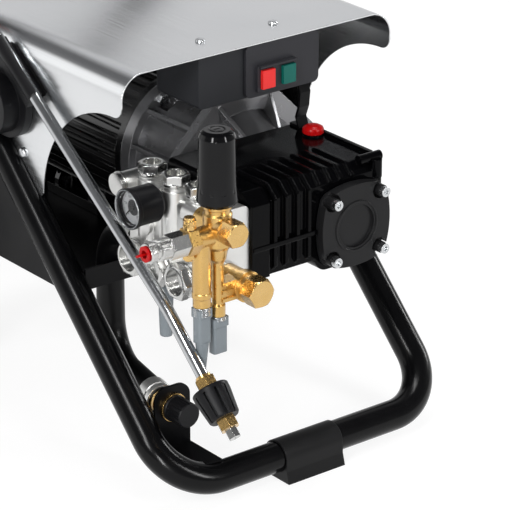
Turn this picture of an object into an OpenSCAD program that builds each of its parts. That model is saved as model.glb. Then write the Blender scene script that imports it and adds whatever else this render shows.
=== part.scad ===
// Wheeled electric pressure washer: raked tube frame, tray-mounted motor, triplex plunger
// pump with brass unloader, folded sheet cover, control box and a stored spray lance.
// Axes: X to the right, Y to the back, Z up. The origin lies on the ground under the
// middle of the front bar. All sizes are in millimetres.

/* [Frame] */
// Outer diameter of the frame tube
tube_d = 35; // [30:1:40]
// Wall of the frame tube
tube_wall = 2; // [1.5:0.5:4]
// Distance between the centres of the two legs
frame_w = 375; // [365:1:450]
// Centre-line radius of the four corner bends
bend_r = 65; // [45:1:90]
// Slope of the frame above the ground in degrees
rake = 44.5; // [42:0.5:47]
// Length of the loop from the front bar to the handle bar, along the slope
loop_len = 1150; // [1000:10:1300]
// Rubber under the front bar
pad_gap = 8.5; // [6:0.5:14]
// Width of the rubber foot
pad_w = 80; // [50:1:140]

/* [Tray] */
// Height of the underside of the tray
tray_z = 196; // [190:1:210]
// Thickness of the tray sheet
tray_t = 3; // [2:0.5:4]
// Front edge of the tray
tray_front = 183; // [178:1:195]
// Length of the tray from front to back
tray_len = 417; // [400:1:460]
// Height of the turned-up front and rear edges
tray_lip = 25; // [15:1:35]

/* [Wheels] */
// Outer diameter of the wheels
wheel_d = 280; // [240:1:300]
// Width of the tyres
tyre_w = 46; // [36:1:60]
// Diameter of the axle
axle_d = 20; // [16:1:24]
// Place of the axle behind the front bar
axle_y = 550; // [520:1:570]

/* [Motor] */
// Height of the shaft above the tray
shaft_h = 90; // [88:0.5:96]
// Offset of the shaft from the middle of the frame
motor_x = 40; // [30:1:50]
// Diameter over the cooling fins
motor_d = 176; // [160:1:177]
// Length of the finned housing
motor_len = 216; // [180:1:240]
// Number of cooling fins round the housing
fin_count = 36; // [24:4:48]
// Length of the bell that joins the pump to the motor
bell_len = 163; // [150:1:175]
// Length of the fan cowl
cowl_len = 62; // [50:1:75]
// Diameter of the motor shaft
shaft_d = 24; // [18:1:28]

/* [Pump] */
// Width of the crankcase from the head to its closed end
case_w = 182; // [178:1:190]
// Depth of the crankcase from front to back
case_d = 142; // [136:1:150]
// Spacing of the three plungers
plunger_pitch = 42; // [40:0.5:44]
// Pitch of the vertical cooling ribs
rib_pitch = 15.5; // [12:0.5:20]
// Side of the square bolt pattern of the bearing cover
cover_bolts = 66; // [60:1:72]
// Width of the pump head
head_w = 51; // [46:1:56]
// Height of the pump head
head_h = 86; // [80:1:92]
// Diameter of the pressure gauge
gauge_d = 45; // [40:1:50]

/* [Unloader] */
// Diameter of the adjusting knob at its foot
knob_d = 44; // [36:1:50]
// Height of the adjusting knob
knob_h = 80; // [60:1:90]
// Diameter of the upright brass body
body_d = 31; // [28:1:34]
// Bore of the high-pressure outlet
outlet_bore = 13; // [10:0.5:15]

/* [Cover and control box] */
// Outer width of the cover
cover_w = 370; // [365:1:374]
// Height of the top of the cover
cover_top = 474; // [470:1:485]
// Thickness of the stainless sheet
cover_t = 1.5; // [1:0.25:2.5]
// Outer radius of the long side bends
cover_r = 28; // [15:1:40]
// Radius of the front corners of the two sides
corner_r = 14; // [4:1:20]
// Radius of the arch cut in each side
arch_r = 138; // [125:1:145]
// Width of the control box
box_w = 162; // [140:1:180]
// Height of the control box
box_h = 60; // [55:1:64]
// Depth of the control box
box_d = 75; // [60:1:90]
// Travel of the push buttons
button_travel = 4; // [2:0.5:6]

/* [Lance] */
// Diameter of the lance tube
lance_d = 13.5; // [12:0.5:16]
// Slope of the long straight of the lance in degrees
lance_rake = 35.5; // [33:0.5:38]
// Extra bend of the lance towards its nozzle in degrees
lance_bend = 7; // [0:1:15]
// Length of the straight from the bend to the gun
lance_len = 500; // [450:5:600]
// Diameter of the ribbed nozzle guard
guard_d = 40; // [34:1:46]

/* [Inlet] */
// Outer diameter of the suction hose
hose_d = 32; // [28:1:36]
// Bore of the suction hose
hose_bore = 25; // [20:1:28]
// Radius of the lower hose bend
hose_r = 48; // [40:1:60]

/* [Hidden] */

$fn = 48;
gap = 0.3;      // between pieces that only rest against each other
fit = 0.1;      // radial clearance of a shank or barb in its hole
run = 0.05;     // radial clearance of a running bearing
eps = 0.01;

tube_r = tube_d / 2;
bar_z = tube_r + pad_gap;
half_w = frame_w / 2;
leg_start = bend_r + 70;
leg_end = loop_len - bend_r - 70;
function tube_y(t) = t * cos(rake);
function tube_z(t) = bar_z + t * sin(rake);
// Height of the tube centre line above a given depth
function line_z(y) = bar_z + y * tan(rake);
tube_rise = (tube_r + gap) / cos(rake);

tray_top = tray_z + tray_t;
tray_rear = tray_front + tray_len;
inner_w = half_w - tube_r - gap;
plate_x = half_w + tray_t / 2;

axle_z = wheel_d / 2;
axle_r = axle_d / 2;
wheel_in = plate_x + 8;
wheel_mid = wheel_in + tyre_w / 2;
hub_half = tyre_w / 2 + 2;
cap_t = 8;
axle_half = wheel_mid + hub_half + cap_t;
axle_end = axle_half - 3 - gap;

axis_z = tray_top + shaft_h;
case_y0 = -21;
case_y1 = case_y0 + case_d;
case_mid = (case_y0 + case_y1) / 2;
case_x0 = motor_x - 141;
case_x1 = case_x0 + case_w;
case_top = axis_z + 66;
shoulder_z = axis_z + 54;
shoulder_d = 13;
lid_t = 12;
lid_x = motor_x - 4;
lid_z = axis_z + 3;
bell_y0 = case_y1 + gap;
bell_y1 = bell_y0 + bell_len;
body_y0 = bell_y1 + gap;
body_y1 = body_y0 + motor_len;
fin_r = motor_d / 2;
shell_r = fin_r - 9;
bore_r = shell_r - 8;
shaft_r = shaft_d / 2;
bearing_r = shaft_r + 14;
bearing_w = 15;
front_bearing_y = bell_y1 - 30;
rear_bearing_y = body_y1 - bearing_w - 4;

head_x1 = case_x0 - gap;
head_x0 = head_x1 - head_w;
head_y0 = case_y0 - 1;
head_y1 = case_y1 + 1;
head_z1 = axis_z + 57;
head_z0 = head_z1 - head_h;
valve_x = head_x0 + 9;
valve_r = 16;
valve_top = head_z1 + 10;
suction_z = axis_z - 22;
suction_r = 18;
suction_face = head_x0 - 12;
function plunger_y(i) = case_mid + (i - 1) * plunger_pitch;

gauge_r = gauge_d / 2;
gauge_x0 = head_x0 - 48;
gauge_x1 = gauge_x0 + 39;
gauge_y = case_mid + 10;
gauge_z = axis_z + 50;

unl_x = head_x0 - 11;
unl_y = head_y0 - 26;
unl_z = axis_z + 49;
knob_z = axis_z + 83;
col1_x = unl_x - 21;
col1_r = 10.5;
col2_r = 9;
col1_z = axis_z - 27;
col2_z = axis_z - 43;
banjo_z = axis_z + 57;
low_x = head_x0 + 20;
low_z = axis_z - 16;
banjo_y = unl_y - 18;
arm_r = 12;
arm_end = unl_x - 30;
nut_x = arm_end - 12;
outlet_x1 = nut_x - gap;
outlet_x0 = outlet_x1 - 49;

box_x = motor_x - 38;
box_y0 = 94;
box_top = cover_top - cover_t - gap;
box_z0 = box_top - box_h;
plate_x0 = box_x - 20;
plate_x1 = box_x + box_w / 2;
stop_x = box_x + 6;
start_x = stop_x + 28.5;
button_z = box_z0 + 20;
button_w = 17;
button_h = 21;

cover_y0 = 88;
cover_y1 = 425;
arch_y = 101;
arch_z = axis_z - 1;
cover_half = cover_w / 2;
// Centre of the rounded front corner, where it runs into the arch
corner_z = arch_z + sqrt(pow(arch_r + corner_r, 2) - pow(cover_y0 + corner_r - arch_y, 2));

// Centre of the round tip of each side, between the arch and the edge above the leg
tip_r = 6;
tip_b = bar_z + tube_rise + tip_r / cos(rake) - arch_z;
tip_h = arch_y - tan(rake) * tip_b;
tip_k = 1 + pow(tan(rake), 2);
tip_y = (tip_h + sqrt(pow(tip_h, 2) - tip_k * (pow(arch_y, 2) + pow(tip_b, 2) - pow(arch_r + tip_r, 2)))) / tip_k;
tip_z = arch_z + tan(rake) * tip_y + tip_b;

lance_x = -197;
lance_y = -6;
lance_z = 246;
lance_r = lance_d / 2;
gun_s = lance_len;
grip_roll = 50;

inlet_x = -146;
inlet_y = 60;
inlet_z = 95;
spigot_r = 12;
hose_x = -119;
hose_y = 208;
port_z = axis_z - 27;
hose_or = hose_d / 2;
hose_ir = hose_bore / 2;
hose_start = inlet_y + 15;
// The hose stands in one upright plane that is turned by this angle from the Y axis
hose_head = atan2(hose_x - inlet_x, hose_y - hose_start);
// Lengths of the runs are kept to tenths, so that their ends meet exactly
function tenths(v) = round(v * 10) / 10;
hose_up = tenths(norm([hose_x - inlet_x, hose_y - hose_start]));
hose_rise = port_z - inlet_z;
hose_r2 = 60;
port_len = 6;
port_d = (head_y1 + port_len - hose_start) / cos(hose_head);
port_x = inlet_x + (head_y1 - hose_start) * tan(hose_head);
hose_end = tenths(port_d + 3);

// ---- helpers -------------------------------------------------------------------------

// Bars along the three axes, given by where they start and end
module rod_x(x0, x1, y, z, r, fn = $fn) {
  translate([x0, y, z]) rotate([0, 90, 0]) cylinder(h = x1 - x0, r = r, $fn = fn);
}
module rod_y(x, y0, y1, z, r, fn = $fn) {
  translate([x, y0, z]) rotate([-90, 0, 0]) cylinder(h = y1 - y0, r = r, $fn = fn);
}
module rod_z(x, y, z0, z1, r, fn = $fn) {
  translate([x, y, z0]) cylinder(h = z1 - z0, r = r, $fn = fn);
}
// Hexagons by their width across flats
function hex_r(af) = af / 2 / cos(30);
module hex_x(x0, x1, y, z, af, turn = 0) {
  translate([x0, y, z]) rotate([0, 90, 0]) rotate(turn) cylinder(h = x1 - x0, r = hex_r(af), $fn = 6);
}
module hex_y(x, y0, y1, z, af, turn = 0) {
  translate([x, y0, z]) rotate([-90, 0, 0]) rotate(turn) cylinder(h = y1 - y0, r = hex_r(af), $fn = 6);
}
module hex_z(x, y, z0, z1, af, turn = 0) {
  translate([x, y, z0]) rotate(turn) cylinder(h = z1 - z0, r = hex_r(af), $fn = 6);
}
// Flat outlines pushed out along an axis; the outline is drawn in true coordinates
module plate_xz(y0, y1) { translate([0, y1, 0]) rotate([90, 0, 0]) linear_extrude(y1 - y0) children(); }
module plate_yz(x0, x1) { translate([x0, 0, 0]) rotate([90, 0, 90]) linear_extrude(x1 - x0) children(); }
module plate_xy(z0, z1) { translate([0, 0, z0]) linear_extrude(z1 - z0) children(); }
// Turned shapes; the outline is [radius, place along the axis]
module turn_x(y, z) { translate([0, y, z]) rotate([0, 90, 0]) rotate_extrude() children(); }
module turn_y(x, z) { translate([x, 0, z]) rotate([-90, 0, 0]) rotate_extrude() children(); }
module turn_z(x, y) { translate([x, y, 0]) rotate_extrude() children(); }
module block(x0, x1, y0, y1, z0, z1) { translate([x0, y0, z0]) cube([x1 - x0, y1 - y0, z1 - z0]); }
// Rectangle with round corners, from corner to corner
module round_rect(x0, y0, x1, y1, r) {
  translate([x0 + r, y0]) square([x1 - x0 - 2 * r, y1 - y0]);
  translate([x0, y0 + r]) square([x1 - x0, y1 - y0 - 2 * r]);
  for (x = [x0 + r, x1 - r], y = [y0 + r, y1 - r]) translate([x, y]) circle(r);
}
// The same piece on the right, or mirrored to the left
module on_side(s) { mirror([s < 0 ? 1 : 0, 0, 0]) children(); }
// The sloping plane of the frame: local Y runs up the legs
module in_frame() { translate([0, 0, bar_z]) rotate([rake, 0, 0]) children(); }
module bend(turn_r, r) { rotate_extrude(angle = 90) translate([turn_r, 0]) circle(r); }
module hollow_tube() {
  difference() {
    children(0);
    children(1);
  }
}

// ---- frame ---------------------------------------------------------------------------

module u_end(r, over = 0) {
  rod_x(-half_w + bend_r, half_w - bend_r, 0, 0, r);
  translate([half_w - bend_r, bend_r, 0]) rotate(-90) bend(bend_r, r);
  translate([-half_w + bend_r, bend_r, 0]) rotate(180) bend(bend_r, r);
  for (x = [-half_w, half_w]) rod_y(x, bend_r, leg_start + over, 0, r);
}
module front_bar() {
  color("#141416") in_frame() hollow_tube() {
    u_end(tube_r);
    u_end(tube_r - tube_wall, 1);
  }
}
module handle_bar() {
  color("#141416") in_frame() translate([0, loop_len, 0]) rotate(180) hollow_tube() {
    u_end(tube_r);
    u_end(tube_r - tube_wall, 1);
  }
}
// One leg with the tab that takes the side screw of the cover
tab_y = 276;
tab_z = 335;
module leg(side) {
  in_frame() hollow_tube() {
    rod_y(side * half_w, leg_start, leg_end, 0, tube_r);
    rod_y(side * half_w, leg_start - 1, leg_end + 1, 0, tube_r - tube_wall);
  }
  tab_x = side * (cover_half - cover_t - gap) - (side > 0 ? 3 : 0);
  difference() {
    plate_yz(tab_x, tab_x + 3) difference() {
      polygon([
        [tab_y - 22, line_z(tab_y - 22) + 18], [tab_y + 26, line_z(tab_y + 26) + 18],
        [tab_y + 26, tab_z + 26], [tab_y - 8, tab_z + 14], [tab_y - 22, tab_z - 22]
      ]);
    }
    rod_x(tab_x - 1, tab_x + 4, tab_y, tab_z, 3);
    in_frame() rod_y(side * half_w, leg_start, leg_end, 0, tube_r - eps);
  }
}
module left_leg() { color("#141416") leg(-1); }
module right_leg() { color("#141416") leg(1); }

pad_x = -7;
module foot_pad() {
  sleeve = tube_r + 2;
  color("#1a1a1b") plate_yz(pad_x - pad_w / 2, pad_x + pad_w / 2) difference() {
    union() {
      translate([0, bar_z]) circle(sleeve);
      polygon([
        [-23.5, 0], [20, 0], [sleeve - 1, 8], [sleeve, bar_z], [-sleeve, bar_z],
        [-sleeve, 14], [-21.5, 7]
      ]);
    }
    translate([0, bar_z]) circle(tube_r + fit);
  }
}

bracket_x = 150;
bracket_t = 5;
module base_tray() {
  color("#0f0f10") difference() {
    union() {
      // floor, narrower in front where it passes between the legs
      block(-inner_w, inner_w, tray_front, tray_rear, tray_z, tray_top);
      block(-plate_x, plate_x, tray_front + 27, tray_rear, tray_z, tray_top);
      block(-inner_w, inner_w, tray_front, tray_front + tray_t, tray_z, tray_z + tray_lip);
      block(-plate_x, plate_x, tray_rear - tray_t, tray_rear, tray_z, tray_z + tray_lip);
      // side plates that meet the underside of the legs
      for (x = [-plate_x, plate_x - tray_t]) plate_yz(x, x + tray_t) difference() {
        polygon([
          [tray_front, tray_z], [tray_rear, tray_z], [tray_rear, tray_z + 40],
          [tray_front + 215, line_z(tray_front + 215) - tube_rise],
          [tray_front, line_z(tray_front) - tube_rise]
        ]);
        translate([0, tray_z - 40]) square([tray_front + 60, 40]);
      }
      // axle brackets
      for (x = [-bracket_x, bracket_x]) plate_yz(x - bracket_t / 2, x + bracket_t / 2) difference() {
        union() {
          translate([axle_y, axle_z]) circle(axle_r + 12);
          translate([axle_y - 30, tray_z - 4]) square([60, 4 + eps]);
          polygon([
            [axle_y - axle_r - 12, axle_z], [axle_y + axle_r + 12, axle_z],
            [axle_y + 30, tray_z - 4], [axle_y - 30, tray_z - 4]
          ]);
        }
        translate([axle_y, axle_z]) circle(axle_r + fit);
      }
    }
    // round notch in the front edge for the bell, hose hole and foot bolt holes
    rod_y(motor_x, tray_front - 1, tray_front + tray_t + 1, axis_z, skirt_r + 3);
    rod_z(hose_x, hose_y, tray_z - 1, tray_top + 1, hose_or + 2);
    for (x = foot_xs, y = foot_ys) rod_z(x, y, tray_z - 1, tray_top + 1, 4 + fit);
  }
}

// ---- axle and wheels -----------------------------------------------------------------

// Axle with a spacer sleeve between each bracket and its wheel
module axle() {
  color("#8d9196") {
    rod_x(-axle_end, axle_end, axle_y, axle_z, axle_r);
    for (s = [-1, 1]) on_side(s)
      rod_x(bracket_x + bracket_t / 2 + gap, wheel_mid - hub_half - gap, axle_y, axle_z, axle_r + 4);
  }
}
// Pressed caps that keep the wheels on
module axle_caps() {
  color("#1b1b1c") for (s = [-1, 1]) on_side(s) turn_x(axle_y, axle_z) polygon([
    [axle_r + fit, axle_half - cap_t + gap], [axle_r + 5, axle_half - cap_t + gap],
    [axle_r + 5, axle_half - 3], [axle_r + 1, axle_half], [0, axle_half], [0, axle_half - 3],
    [axle_r + fit, axle_half - 3]
  ]);
}
spoke_count = 6;
module rim() {
  hub_r = axle_r + 14;
  rim_r = wheel_d / 2 - 38;
  difference() {
    union() {
      turn_x(axle_y, axle_z) polygon([
        [axle_r + run, wheel_mid - hub_half], [hub_r, wheel_mid - hub_half],
        [hub_r, wheel_mid - 6], [rim_r - 6, wheel_mid - 6], [rim_r - 6, wheel_mid - tyre_w / 2 + 3],
        [rim_r + 4, wheel_mid - tyre_w / 2 + 3], [rim_r, wheel_mid - 12], [rim_r, wheel_mid + 12],
        [rim_r + 4, wheel_mid + tyre_w / 2 - 3], [rim_r - 6, wheel_mid + tyre_w / 2 - 3],
        [rim_r - 6, wheel_mid + 0], [hub_r, wheel_mid + 0], [hub_r, wheel_mid + hub_half],
        [axle_r + run, wheel_mid + hub_half]
      ]);
      for (i = [0:spoke_count - 1]) translate([0, axle_y, axle_z]) rotate([i * 360 / spoke_count, 0, 0])
        block(wheel_mid - 9, wheel_mid + 9, -4, 4, hub_r - 2, rim_r - 4);
    }
    for (i = [0:spoke_count - 1]) translate([0, axle_y, axle_z]) rotate([(i + 0.5) * 360 / spoke_count, 0, 0])
      rod_x(wheel_mid - 20, wheel_mid + 20, 0, (hub_r + rim_r) / 2, 17);
  }
}
module left_rim() { color("#2a2a2c") mirror([1, 0, 0]) rim(); }
module right_rim() { color("#2a2a2c") rim(); }
module tyre() {
  rim_r = wheel_d / 2 - 38;
  difference() {
    turn_x(axle_y, axle_z) difference() {
      union() {
        translate([wheel_d / 2 - 18, wheel_mid - tyre_w / 2 + 18]) circle(18);
        translate([wheel_d / 2 - 18, wheel_mid + tyre_w / 2 - 18]) circle(18);
        translate([rim_r + gap, wheel_mid - 12]) square([30, 24]);
        translate([rim_r + 4 + gap, wheel_mid - tyre_w / 2 + 4]) square([16, tyre_w - 8]);
        translate([wheel_d / 2 - 30, wheel_mid - tyre_w / 2 + 18]) square([30, tyre_w - 36]);
      }
      for (x = [-9, 0, 9]) translate([wheel_d / 2 - 3, wheel_mid + x - 1.25]) square([4, 2.5]);
    }
    for (i = [0:23]) translate([0, axle_y, axle_z]) rotate([i * 15, 0, 0])
      block(wheel_mid - tyre_w, wheel_mid - 9, -1.5, 1.5, wheel_d / 2 - 3, wheel_d / 2 + 1);
    for (i = [0:23]) translate([0, axle_y, axle_z]) rotate([i * 15 + 7.5, 0, 0])
      block(wheel_mid + 9, wheel_mid + tyre_w, -1.5, 1.5, wheel_d / 2 - 3, wheel_d / 2 + 1);
  }
}
module left_tyre() { color("#161617") mirror([1, 0, 0]) tyre(); }
module right_tyre() { color("#161617") tyre(); }

// ---- motor ---------------------------------------------------------------------------

foot_xs = [motor_x - 62, motor_x + 62];
foot_ys = [body_y0 + 82, body_y0 + 150];
module motor_housing() {
  color("#17181a") translate([motor_x, 0, axis_z]) rotate([-90, 0, 0]) {
    difference() {
      union() {
        translate([0, 0, body_y0]) cylinder(h = motor_len, r = shell_r);
        for (i = [0:fin_count - 1]) rotate((i + 0.5) * 360 / fin_count)
          translate([shell_r - 3, -1.2, body_y0 + 10]) cube([fin_r - shell_r + 3, 2.4, motor_len - 20]);
        translate([0, 0, body_y0]) cylinder(h = 10, r = fin_r);
        translate([0, 0, body_y1 - 10]) cylinder(h = 10, r = fin_r - 3);
      }
      translate([0, 0, body_y0 - 1]) cylinder(h = motor_len - 14, r = bore_r);
      translate([0, 0, body_y1 - 30]) cylinder(h = 40, r = bearing_r + fit);
      for (a = bell_bolts) rotate(-a) translate([bell_bolt_r, 0, body_y0 - 1]) cylinder(h = 11, r = 4 + fit);
    }
  }
}
module motor_feet() {
  color("#17181a") difference() {
    union() {
      for (y = foot_ys) block(motor_x - 76, motor_x + 76, y - 17, y + 17, tray_top + gap, tray_top + 12);
      for (x = [motor_x - 62, motor_x + 62]) block(x - 14, x + 14, foot_ys[0], foot_ys[1], tray_top + gap, tray_top + 12);
      for (y = foot_ys, s = [-1, 1]) plate_xz(y - 4, y + 4) polygon([
        [motor_x + s * 20, tray_top + 8], [motor_x + s * 74, tray_top + 8],
        [motor_x + s * 74, tray_top + 20], [motor_x + s * 60, axis_z - 40], [motor_x + s * 20, axis_z - 60]
      ]);
    }
    rod_y(motor_x, body_y0 - 1, body_y1 + 1, axis_z, fin_r + gap);
    for (x = foot_xs, y = foot_ys) rod_z(x, y, tray_z - 1, tray_top + 14, 4 + fit);
    for (x = foot_xs, y = foot_ys) rod_z(x, y, tray_top + 12, tray_top + 40, 9);
  }
}
// Hexagon bolts: four through the motor feet and four through the rear ring of the bell
bell_bolt_r = fin_r - 9;
bell_bolts = [30:90:300];
ring_t = 16;
module motor_bolts() {
  color("#9a9da1") {
    for (x = foot_xs, y = foot_ys) {
      rod_z(x, y, tray_z - 2, tray_top + 12 + gap, 4);
      hex_z(x, y, tray_top + 12 + gap, tray_top + 18, 13);
      hex_z(x, y, tray_z - 8, tray_z - gap, 13);
    }
    for (a = bell_bolts) {
      x = motor_x + bell_bolt_r * cos(a);
      z = axis_z + bell_bolt_r * sin(a);
      hex_y(x, bell_y1 - ring_t - 6, bell_y1 - ring_t - gap, z, 13);
      rod_y(x, bell_y1 - ring_t - 2, body_y0 + 9, z, 4);
    }
  }
}
// Cast bell: a cone from the crankcase to an eight-sided flange, then a ribbed skirt
flange_y = bell_y0 + 44;
flange_af = 194;
skirt_r = fin_r - 2;
module motor_bell() {
  color("#1b1c1e") difference() {
    union() {
      turn_y(motor_x, axis_z) polygon([
        [bearing_r - 6, bell_y0], [60, bell_y0], [60, bell_y0 + 10], [76, flange_y],
        [88, flange_y], [88, flange_y + 14], [skirt_r - 14, flange_y + 30], [skirt_r - 8, bell_y1 - ring_t],
        [fin_r, bell_y1 - ring_t], [fin_r, bell_y1], [bearing_r, bell_y1]
      ]);
      translate([motor_x, flange_y, axis_z]) rotate([-90, 0, 0]) rotate(22.5)
        cylinder(h = 12, r = flange_af / 2 / cos(22.5), $fn = 8);
      // gussets in front of the flange, and ribs behind it
      for (a = [0:45:315]) translate([motor_x, 0, axis_z]) rotate([0, a + 22.5, 0])
        plate_yz(-2.5, 2.5) polygon([[bell_y0 + 10, 50], [bell_y0 + 10, 61], [flange_y + 1, 0.5 * flange_af], [flange_y + 1, 50]]);
      for (a = [0:30:330]) translate([motor_x, 0, axis_z]) rotate([0, a + 15, 0])
        plate_yz(-2.5, 2.5) polygon([
          [flange_y + 10, 0.48 * flange_af], [tray_front - 4, skirt_r + 1],
          [bell_y1 - 14, skirt_r], [bell_y1 - 14, 50], [flange_y + 10, 50]
        ]);
    }
    // room for the shaft coupling, then the bearing seat
    rod_y(motor_x, bell_y0 - 1, front_bearing_y - 2, axis_z, 44);
    rod_y(motor_x, bell_y0 - 1, bell_y1 + 1, axis_z, bearing_r - 5);
    rod_y(motor_x, front_bearing_y, bell_y1 + 1, axis_z, bearing_r + fit);
    // a pocket for each bolt head and its hole
    for (a = bell_bolts) {
      x = motor_x + bell_bolt_r * cos(a);
      z = axis_z + bell_bolt_r * sin(a);
      rod_y(x, bell_y1 - ring_t - 18, bell_y1 - ring_t, z, 10);
      rod_y(x, bell_y1 - ring_t - 1, bell_y1 + 1, z, 4 + fit);
    }
  }
}
module motor_rotor() {
  color("#a3a6aa") {
    rod_y(motor_x, bell_y0 + 30, body_y1 + 40, axis_z, shaft_r - run);
    rod_y(motor_x, front_bearing_y + 40, rear_bearing_y - 30, axis_z, bore_r - 12);
    // shaft coupling
    rod_y(motor_x, bell_y0 + 26, bell_y0 + 80, axis_z, 30);
  }
}
module motor_bearings() {
  color("#c4c7ca") for (y = [front_bearing_y, rear_bearing_y]) turn_y(motor_x, axis_z)
    translate([shaft_r, y + gap]) square([bearing_r - shaft_r, bearing_w]);
}
fan_y = body_y1 + 14;
module cooling_fan() {
  color("#26272a") difference() {
    union() {
      rod_y(motor_x, fan_y, fan_y + 24, axis_z, 22);
      rod_y(motor_x, fan_y, fan_y + 3, axis_z, shell_r - 12);
      for (i = [0:6]) translate([motor_x, 0, axis_z]) rotate([0, i * 360 / 7, 0])
        block(-1.5, 1.5, fan_y, fan_y + 22, 18, shell_r - 12);
    }
    rod_y(motor_x, fan_y - 1, fan_y + 26, axis_z, shaft_r - run);
  }
}
module fan_cowl() {
  y1 = body_y1 + gap + cowl_len;
  color("#131314") difference() {
    turn_y(motor_x, axis_z) polygon([
      [fin_r - 6, body_y1 + gap], [fin_r - 2, body_y1 + gap], [fin_r - 2, y1 - 14], [fin_r - 14, y1],
      [0, y1], [0, y1 - 2.5], [fin_r - 15, y1 - 2.5], [fin_r - 6, y1 - 14]
    ]);
    // rings of air slots in the end face
    for (r = [26, 42, 58], i = [0:11]) translate([motor_x, 0, axis_z]) rotate([0, i * 30, 0])
      plate_xz(y1 - 4, y1 + 1) round_rect(-r * 0.17, r - 5, r * 0.17, r + 5, 3);
  }
}

// ---- pump ----------------------------------------------------------------------------

rib_h = 5;
rib_t = 4.5;
floor_left = axis_z - 30;
floor_right = axis_z - 45;
rim_w = 5;
// Side view of the case: upright front, sloping shoulder, flat top
module case_side(z0, out = 0) {
  polygon([
    [case_y0 - out, z0], [case_y1, z0], [case_y1, case_top], [case_y0 + shoulder_d, case_top],
    [case_y0 - out, shoulder_z]
  ]);
}
module crankcase() {
  color("#111112") difference() {
    union() {
      intersection() {
        plate_yz(case_x0, case_x1) case_side(floor_right);
        plate_xz(case_y0, case_y1) union() {
          round_rect(case_x0, floor_left, motor_x + 20, case_top, 6);
          round_rect(motor_x - 51, floor_right, case_x1, case_top, 16);
          translate([motor_x, axis_z]) square([case_x1 - motor_x, case_top - axis_z]);
        }
      }
      // ribs that run up the front, over the shoulder and back along the top
      for (i = [0:3]) plate_yz(rib_x(i), rib_x(i) + rib_t) polygon([
        [case_y0 + 2, floor_left + 3], [case_y0 - rib_h, floor_left + 9], [case_y0 - rib_h, shoulder_z + 1],
        [case_y0 + shoulder_d - 2, case_top + 3], [case_y0 + 64, case_top + 3], [case_y0 + 67, case_top - 2],
        [case_y0 + shoulder_d + 4, case_top - 2], [case_y0 + 2, shoulder_z - 4]
      ]);
      for (i = [4:7]) plate_yz(rib_x(i), rib_x(i) + rib_t) polygon([
        [case_y0 + 1, shoulder_z - 1], [case_y0 - 1, shoulder_z + 2], [case_y0 + shoulder_d - 2, case_top + 3],
        [case_y0 + 64, case_top + 3], [case_y0 + 67, case_top - 2], [case_y0 + shoulder_d + 4, case_top - 2]
      ]);
      // the case halves meet in a long ridge
      block(case_x0 + 2, lid_x - 48.5, case_y0 - rib_h - 1, case_y0 + 1, axis_z + 2, axis_z + 7);
      // smooth end that carries the head
      plate_yz(case_x0, case_x0 + 24) difference() {
        case_side(floor_left, rib_h);
        translate([case_y0 + 20, floor_left - 1]) square([case_d, case_top]);
      }
      // rim along the closed end, with its lug and post in front
      block(case_x1 - rim_w, case_x1, case_y0 + shoulder_d + 2, case_y1 - 20, case_top - 2, case_top + 4);
      rod_x(case_x1 - 27, case_x1 + 3, case_y0 + 7, case_top + 1, 5.5);
      rod_z(case_x1 - 6, case_y0 + 1, shoulder_z - 8, case_top, 6);
      // seat of the oil cap
      rod_z(oil_x, oil_y, case_top - 2, seat_z, 11);
      // ribs on the closed end
      for (i = [0:4]) block(case_x1 - 2, case_x1 + 3, case_y0 + 22 + i * 24, case_y0 + 26 + i * 24, axis_z - 26, case_top - 8);
      // seat of the bearing cover
      plate_xz(case_y0 - 1, case_y0 + 1) translate([lid_x, lid_z]) circle(lid_seat_r);
      // rear flange to the bell
      rod_y(motor_x, case_y1 - 8, case_y1, axis_z, 58);
    }
    rod_z(oil_x, oil_y, case_top - 14, seat_z + 1, 8 + fit);
    rod_z(oil_x, oil_y, seat_z, case_top + 5, 13);
    for (x = [-1, 1], z = [-1, 1]) rod_y(
      lid_x + x * cover_bolts / 2, case_y0 - 3, case_y0 + 14, lid_z + z * cover_bolts / 2, 3 + fit
    );
  }
}
function rib_x(i) = case_x0 + 30 + i * rib_pitch;
oil_x = motor_x + 28;
oil_y = case_y1 - 41;
seat_z = case_top + 2;

// Bearing cover: four shallow bowed sides, with a pocket and a boss at each screw
lid_r = 54.5;
lid_seat_r = 46;
lid_y0 = case_y0 - lid_t - 1;
lid_y1 = case_y0 - 1 - gap;
bow_r = 110;
bow = bow_r - 47;
boss_y = lid_y0 - 4;
module at_lid_screws() {
  c = cover_bolts / 2;
  for (x = [-c, c], z = [-c, c]) translate([lid_x + x, 0, lid_z + z]) children();
}
module bearing_cover() {
  color("#121213") difference() {
    union() {
      difference() {
        intersection() {
          rod_y(lid_x, lid_y0, lid_y1, lid_z, lid_r);
          rod_y(lid_x - bow, lid_y0 - 1, lid_y1 + 1, lid_z, bow_r, 96);
          rod_y(lid_x + bow, lid_y0 - 1, lid_y1 + 1, lid_z, bow_r, 96);
          rod_y(lid_x, lid_y0 - 1, lid_y1 + 1, lid_z - bow, bow_r, 96);
          rod_y(lid_x, lid_y0 - 1, lid_y1 + 1, lid_z + bow, bow_r, 96);
        }
        at_lid_screws() rod_y(0, lid_y0 - 1, lid_y1 - 4, 0, 10);
      }
      at_lid_screws() rod_y(0, boss_y, lid_y1 - 3, 0, 6.5);
      // raised ring round the sunk middle
      difference() {
        rod_y(lid_x, lid_y0 - 1.2, lid_y0 + 1, lid_z - 1, 29);
        rod_y(lid_x, lid_y0 - 2, lid_y0 + 2, lid_z - 1, 27);
      }
    }
    rod_y(lid_x, lid_y0 - 2, lid_y0 + 3.5, lid_z - 1, 24.5);
    at_lid_screws() rod_y(0, boss_y - 1, lid_y1 + 1, 0, 3 + fit);
  }
}
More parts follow.
